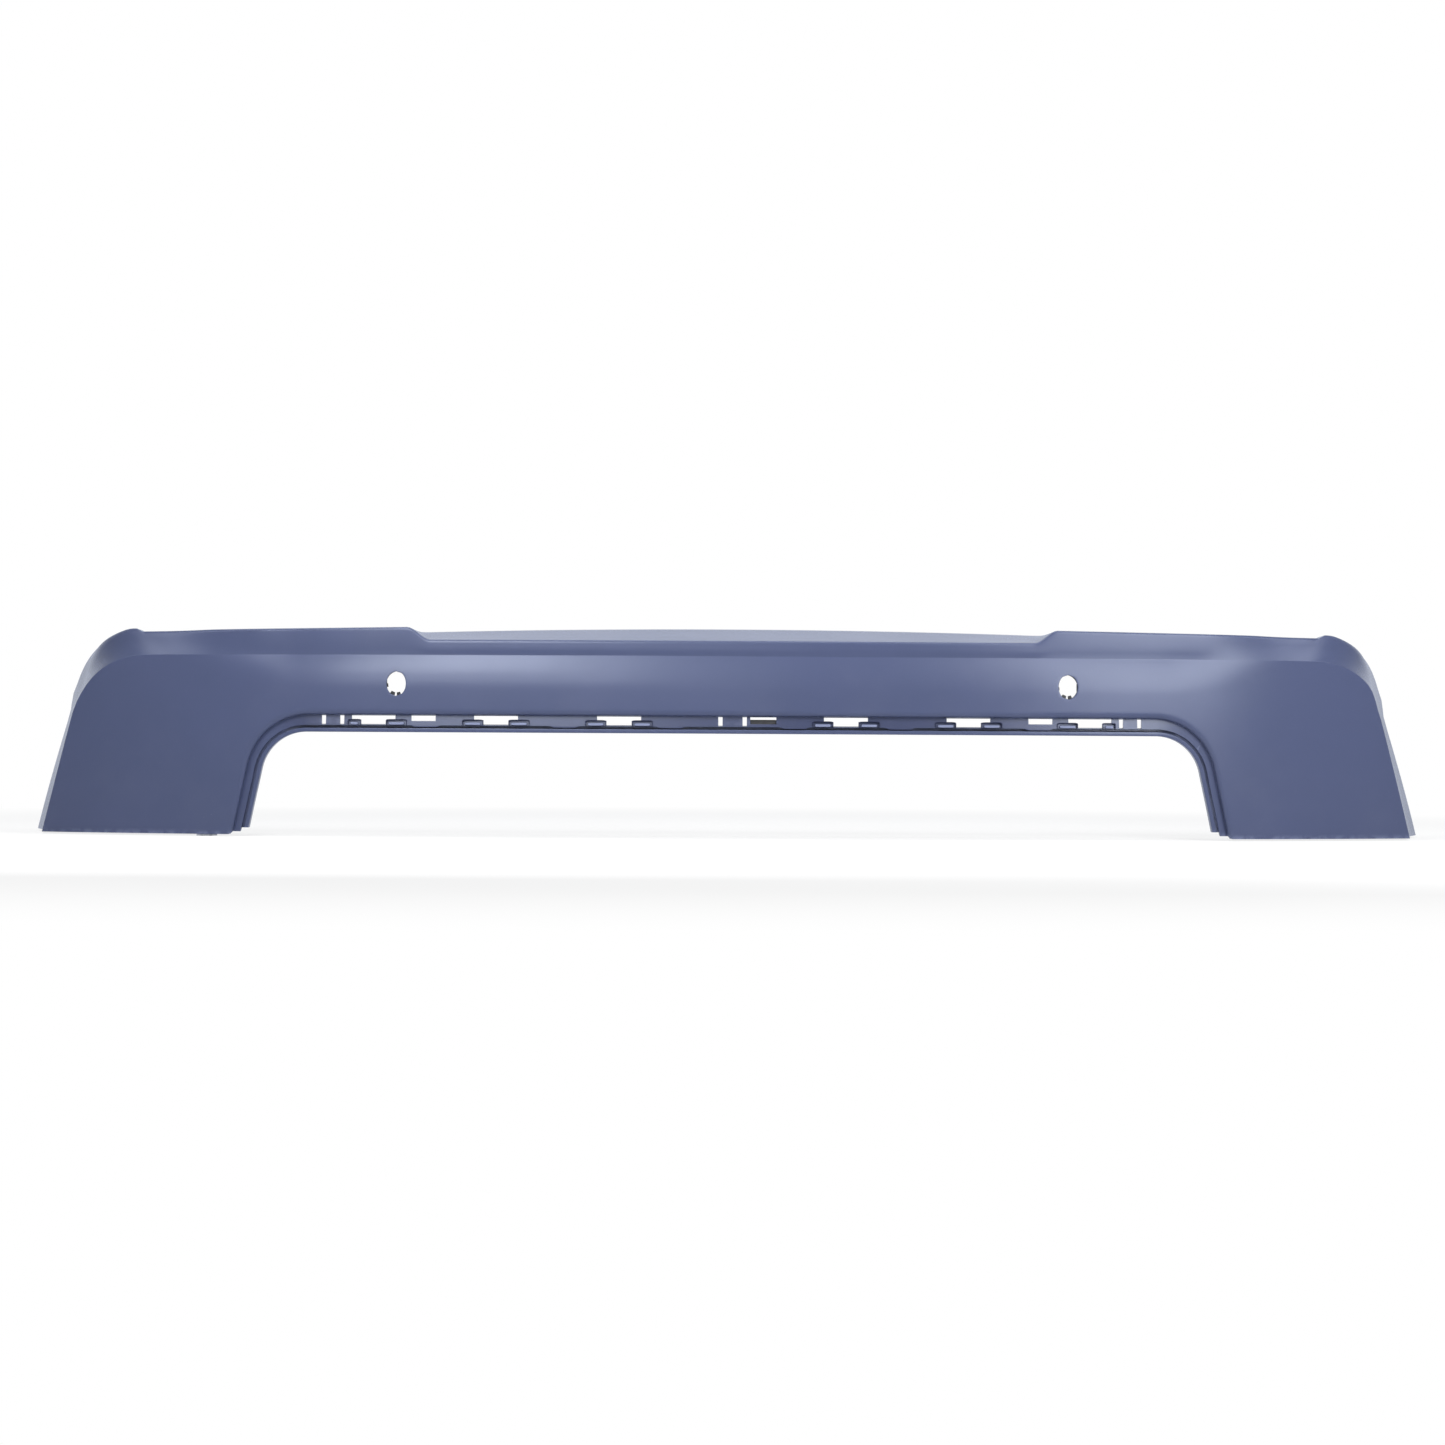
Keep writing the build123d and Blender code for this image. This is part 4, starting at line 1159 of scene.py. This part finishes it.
# Overhead lamps: name, place, spot that it shines on, size, share of the power, tint.
OVERHEAD = (
    ("lamp_back", (0.0, 1.6, 1.9), (0.0, 0.0, 0.2), (2.4, 1.0), 1.3, (0.80, 0.87, 1.0)),
    ("lamp_top", (0.0, -0.45, 2.0), (0.0, -0.15, 0.2), (2.6, 0.6), 2.2, (1, 1, 1)),
)
CAMERA_X, CAMERA_Z = -0.0608, 0.1143
COOL_WHITE = (0.84, 0.89, 1.0, 1)
FLOOR_RINGS = (0.5, 1.0, 2.0, 4.0, 8.0, 16.0, 40.0)
FLOOR_FADE = (1.1, 2.2)


def area_lamp(name, place_at, spot, size, power, tint=(1, 1, 1)):
    """Rectangular lamp, turned so that it shines on a spot."""
    light = bpy.data.lights.new(name, "AREA")
    light.shape = "RECTANGLE"
    light.size, light.size_y = size
    light.energy = power
    light.color = tint
    lamp = bpy.data.objects.new(name, light)
    bpy.context.collection.objects.link(lamp)
    lamp.location = place_at
    lamp.rotation_euler = (lamp.location - Vector(spot)).to_track_quat("Z", "Y").to_euler()
    return lamp


def softbox(name, across, depth, up, radiance):
    """Upright softbox that faces the cover, by its extents and its radiance: power = pi L area."""
    size = (across[1] - across[0], up[1] - up[0])
    middle = (sum(across) / 2, depth, sum(up) / 2)
    power = math.pi * radiance * size[0] * size[1]
    lamp = area_lamp(name, middle, (middle[0], 0.0, middle[2]), size, power)
    lamp.visible_camera = False


def seen_as_background(n):
    """1 for camera, glossy and transmission rays, which see the backdrop as plain white."""
    path = n.tree.nodes.new("ShaderNodeLightPath").outputs
    seen = n.math("MAXIMUM", path["Is Camera Ray"], path["Is Glossy Ray"])
    return n.math("MAXIMUM", seen, path["Is Transmission Ray"])


def cool_in_reflections(n):
    """White, a little cooler where a glossy ray sees it."""
    return n.mix(n.add("LightPath", "Is Glossy Ray"), (1, 1, 1, 1), COOL_WHITE)


def blend_shaders(n, share, first, second, output):
    """Sends a mix of two shaders to the tree's output node."""
    blend = n.tree.nodes.new("ShaderNodeMixShader")
    for socket, value in zip(blend.inputs, (share, first, second)):
        n.put(socket, value)
    n.put(n.tree.nodes[output].inputs["Surface"], blend.outputs["Shader"])


def floor_material(studio):
    """Pale floor with the object's shadow near it, which turns plain white further out."""
    material = bpy.data.materials.new("Pale floor")
    material.use_nodes = True
    n = Nodes(material.node_tree)
    shader = material.node_tree.nodes["Principled BSDF"]
    n.put(shader.inputs["Roughness"], 0.9)
    n.put(shader.inputs["Specular IOR Level"], 0.0)
    where = n.coords()
    tone = n.ramp(n.noise(where, 3.0, 3.0), 0.3, 0.7)
    n.put(shader.inputs["Base Color"], n.mix(tone, studio.floor * 0.97, studio.floor))
    bright = n.add("Emission", "Emission", Color=cool_in_reflections(n), Strength=1.0)
    away = n.add("VectorMath", "Value", {"operation": "LENGTH"}, Vector=where)
    share = n.ramp(away, *FLOOR_FADE, studio.floor_glow, 1.0)
    share = n.math("MULTIPLY", seen_as_background(n), share)
    blend_shaders(n, share, shader.outputs["BSDF"], bright, "Material Output")
    return material


def build_floor(studio):
    """Level disc: points (r cos t, r sin t, 0) on rings of growing radius."""
    count = 96
    turn = np.arange(count) * (2 * math.pi / count)
    points = [np.outer(FLOOR_RINGS, f) for f in (np.cos(turn), np.sin(turn), 0 * turn)]
    quads, index = ring_quads(len(FLOOR_RINGS), count)
    points = np.stack(points, -1).reshape(-1, 3)
    floor = make_mesh("studio_floor", points, quads[:, [0, 3, 2, 1]], [index[0].tolist()])
    floor.data.materials.append(floor_material(studio))
    return floor


def build_surroundings(studio):
    """World of even light, which camera and glossy rays see as plain white."""
    world = bpy.data.worlds.new("Plain surroundings")
    world.use_nodes = True
    n = Nodes(world.node_tree)
    sky = world.node_tree.nodes["Background"]
    n.put(sky.inputs["Color"], (1, 1, 1, 1))
    n.put(sky.inputs["Strength"], studio.ambient)
    white = n.add("Background", "Background", Color=cool_in_reflections(n), Strength=1.0)
    blend_shaders(n, seen_as_background(n), sky.outputs["Background"], white, "World Output")
    return world


def build_camera(studio):
    """Camera in front of the cover, turned from straight ahead by the studio's angles."""
    lens = bpy.data.cameras.new("camera")
    lens.sensor_width = 36.0
    lens.lens = studio.lens
    lens.clip_end = 100.0
    camera = bpy.data.objects.new("camera", lens)
    bpy.context.collection.objects.link(camera)
    camera.location = (CAMERA_X, -HALF_DEPTH * MM - studio.distance, CAMERA_Z)
    ahead = Vector((math.tan(studio.turn), 1.0, math.tan(studio.tilt)))
    roll = Matrix.Rotation(studio.roll, 3, "Z")
    camera.rotation_euler = (ahead.to_track_quat("-Z", "Y").to_matrix() @ roll).to_euler()
    return camera


class BUMPER_OT_studio(Operator):
    """Build the pale floor, the lamps and the camera"""

    bl_idname = "bumper.build_studio"
    bl_label = "Studio"

    def execute(self, context):
        scene = context.scene
        studio = scene.bumper_studio
        floor = build_floor(studio)
        scene.world = build_surroundings(studio)
        for *box, radiance in SOFTBOXES:
            softbox(*box, radiance * studio.shine)
        for name, place_at, spot, size, share, tint in OVERHEAD:
            area_lamp(name, place_at, spot, size, studio.overhead * share, tint)
        scene.camera = build_camera(studio)
        scene.view_settings.view_transform = "Standard"
        return {"FINISHED"}


PIECES = (BUMPER_OT_cover, BUMPER_OT_clips, BUMPER_OT_holders, BUMPER_OT_latches, BUMPER_OT_tapes)
BUILDERS = (*PIECES, BUMPER_OT_studio)
GROUPS = {"bumper_sizes": CoverSizes, "bumper_finish": CoverFinish, "bumper_studio": StudioSettings}


class BUMPER_PT_panel(Panel):
    """Buttons for every piece and the studio"""

    bl_label = "Bumper cover"
    bl_idname = "BUMPER_PT_panel"
    bl_space_type = "VIEW_3D"
    bl_region_type = "UI"
    bl_category = "Bumper"

    def draw(self, context):
        layout = self.layout
        for builder in BUILDERS:
            layout.operator(builder.bl_idname)
        for name in GROUPS:
            group = getattr(context.scene, name)
            box = layout.box()
            for label in group.bl_rna.properties.keys():
                if label not in ("rna_type", "name"):
                    box.prop(group, label)


CLASSES = (*GROUPS.values(), *BUILDERS, BUMPER_PT_panel)


def register():
    for kind in CLASSES:
        bpy.utils.register_class(kind)
    for name, group in GROUPS.items():
        setattr(bpy.types.Scene, name, PointerProperty(type=group))


def unregister():
    for name in GROUPS:
        delattr(bpy.types.Scene, name)
    for kind in reversed(CLASSES):
        bpy.utils.unregister_class(kind)


def main():
    register()
    bpy.ops.bumper.build_cover()
    bpy.ops.bumper.build_clips()
    bpy.ops.bumper.build_holders()
    bpy.ops.bumper.build_latches()
    bpy.ops.bumper.build_tapes()
    bpy.ops.bumper.build_studio()


if __name__ == "__main__":
    main()
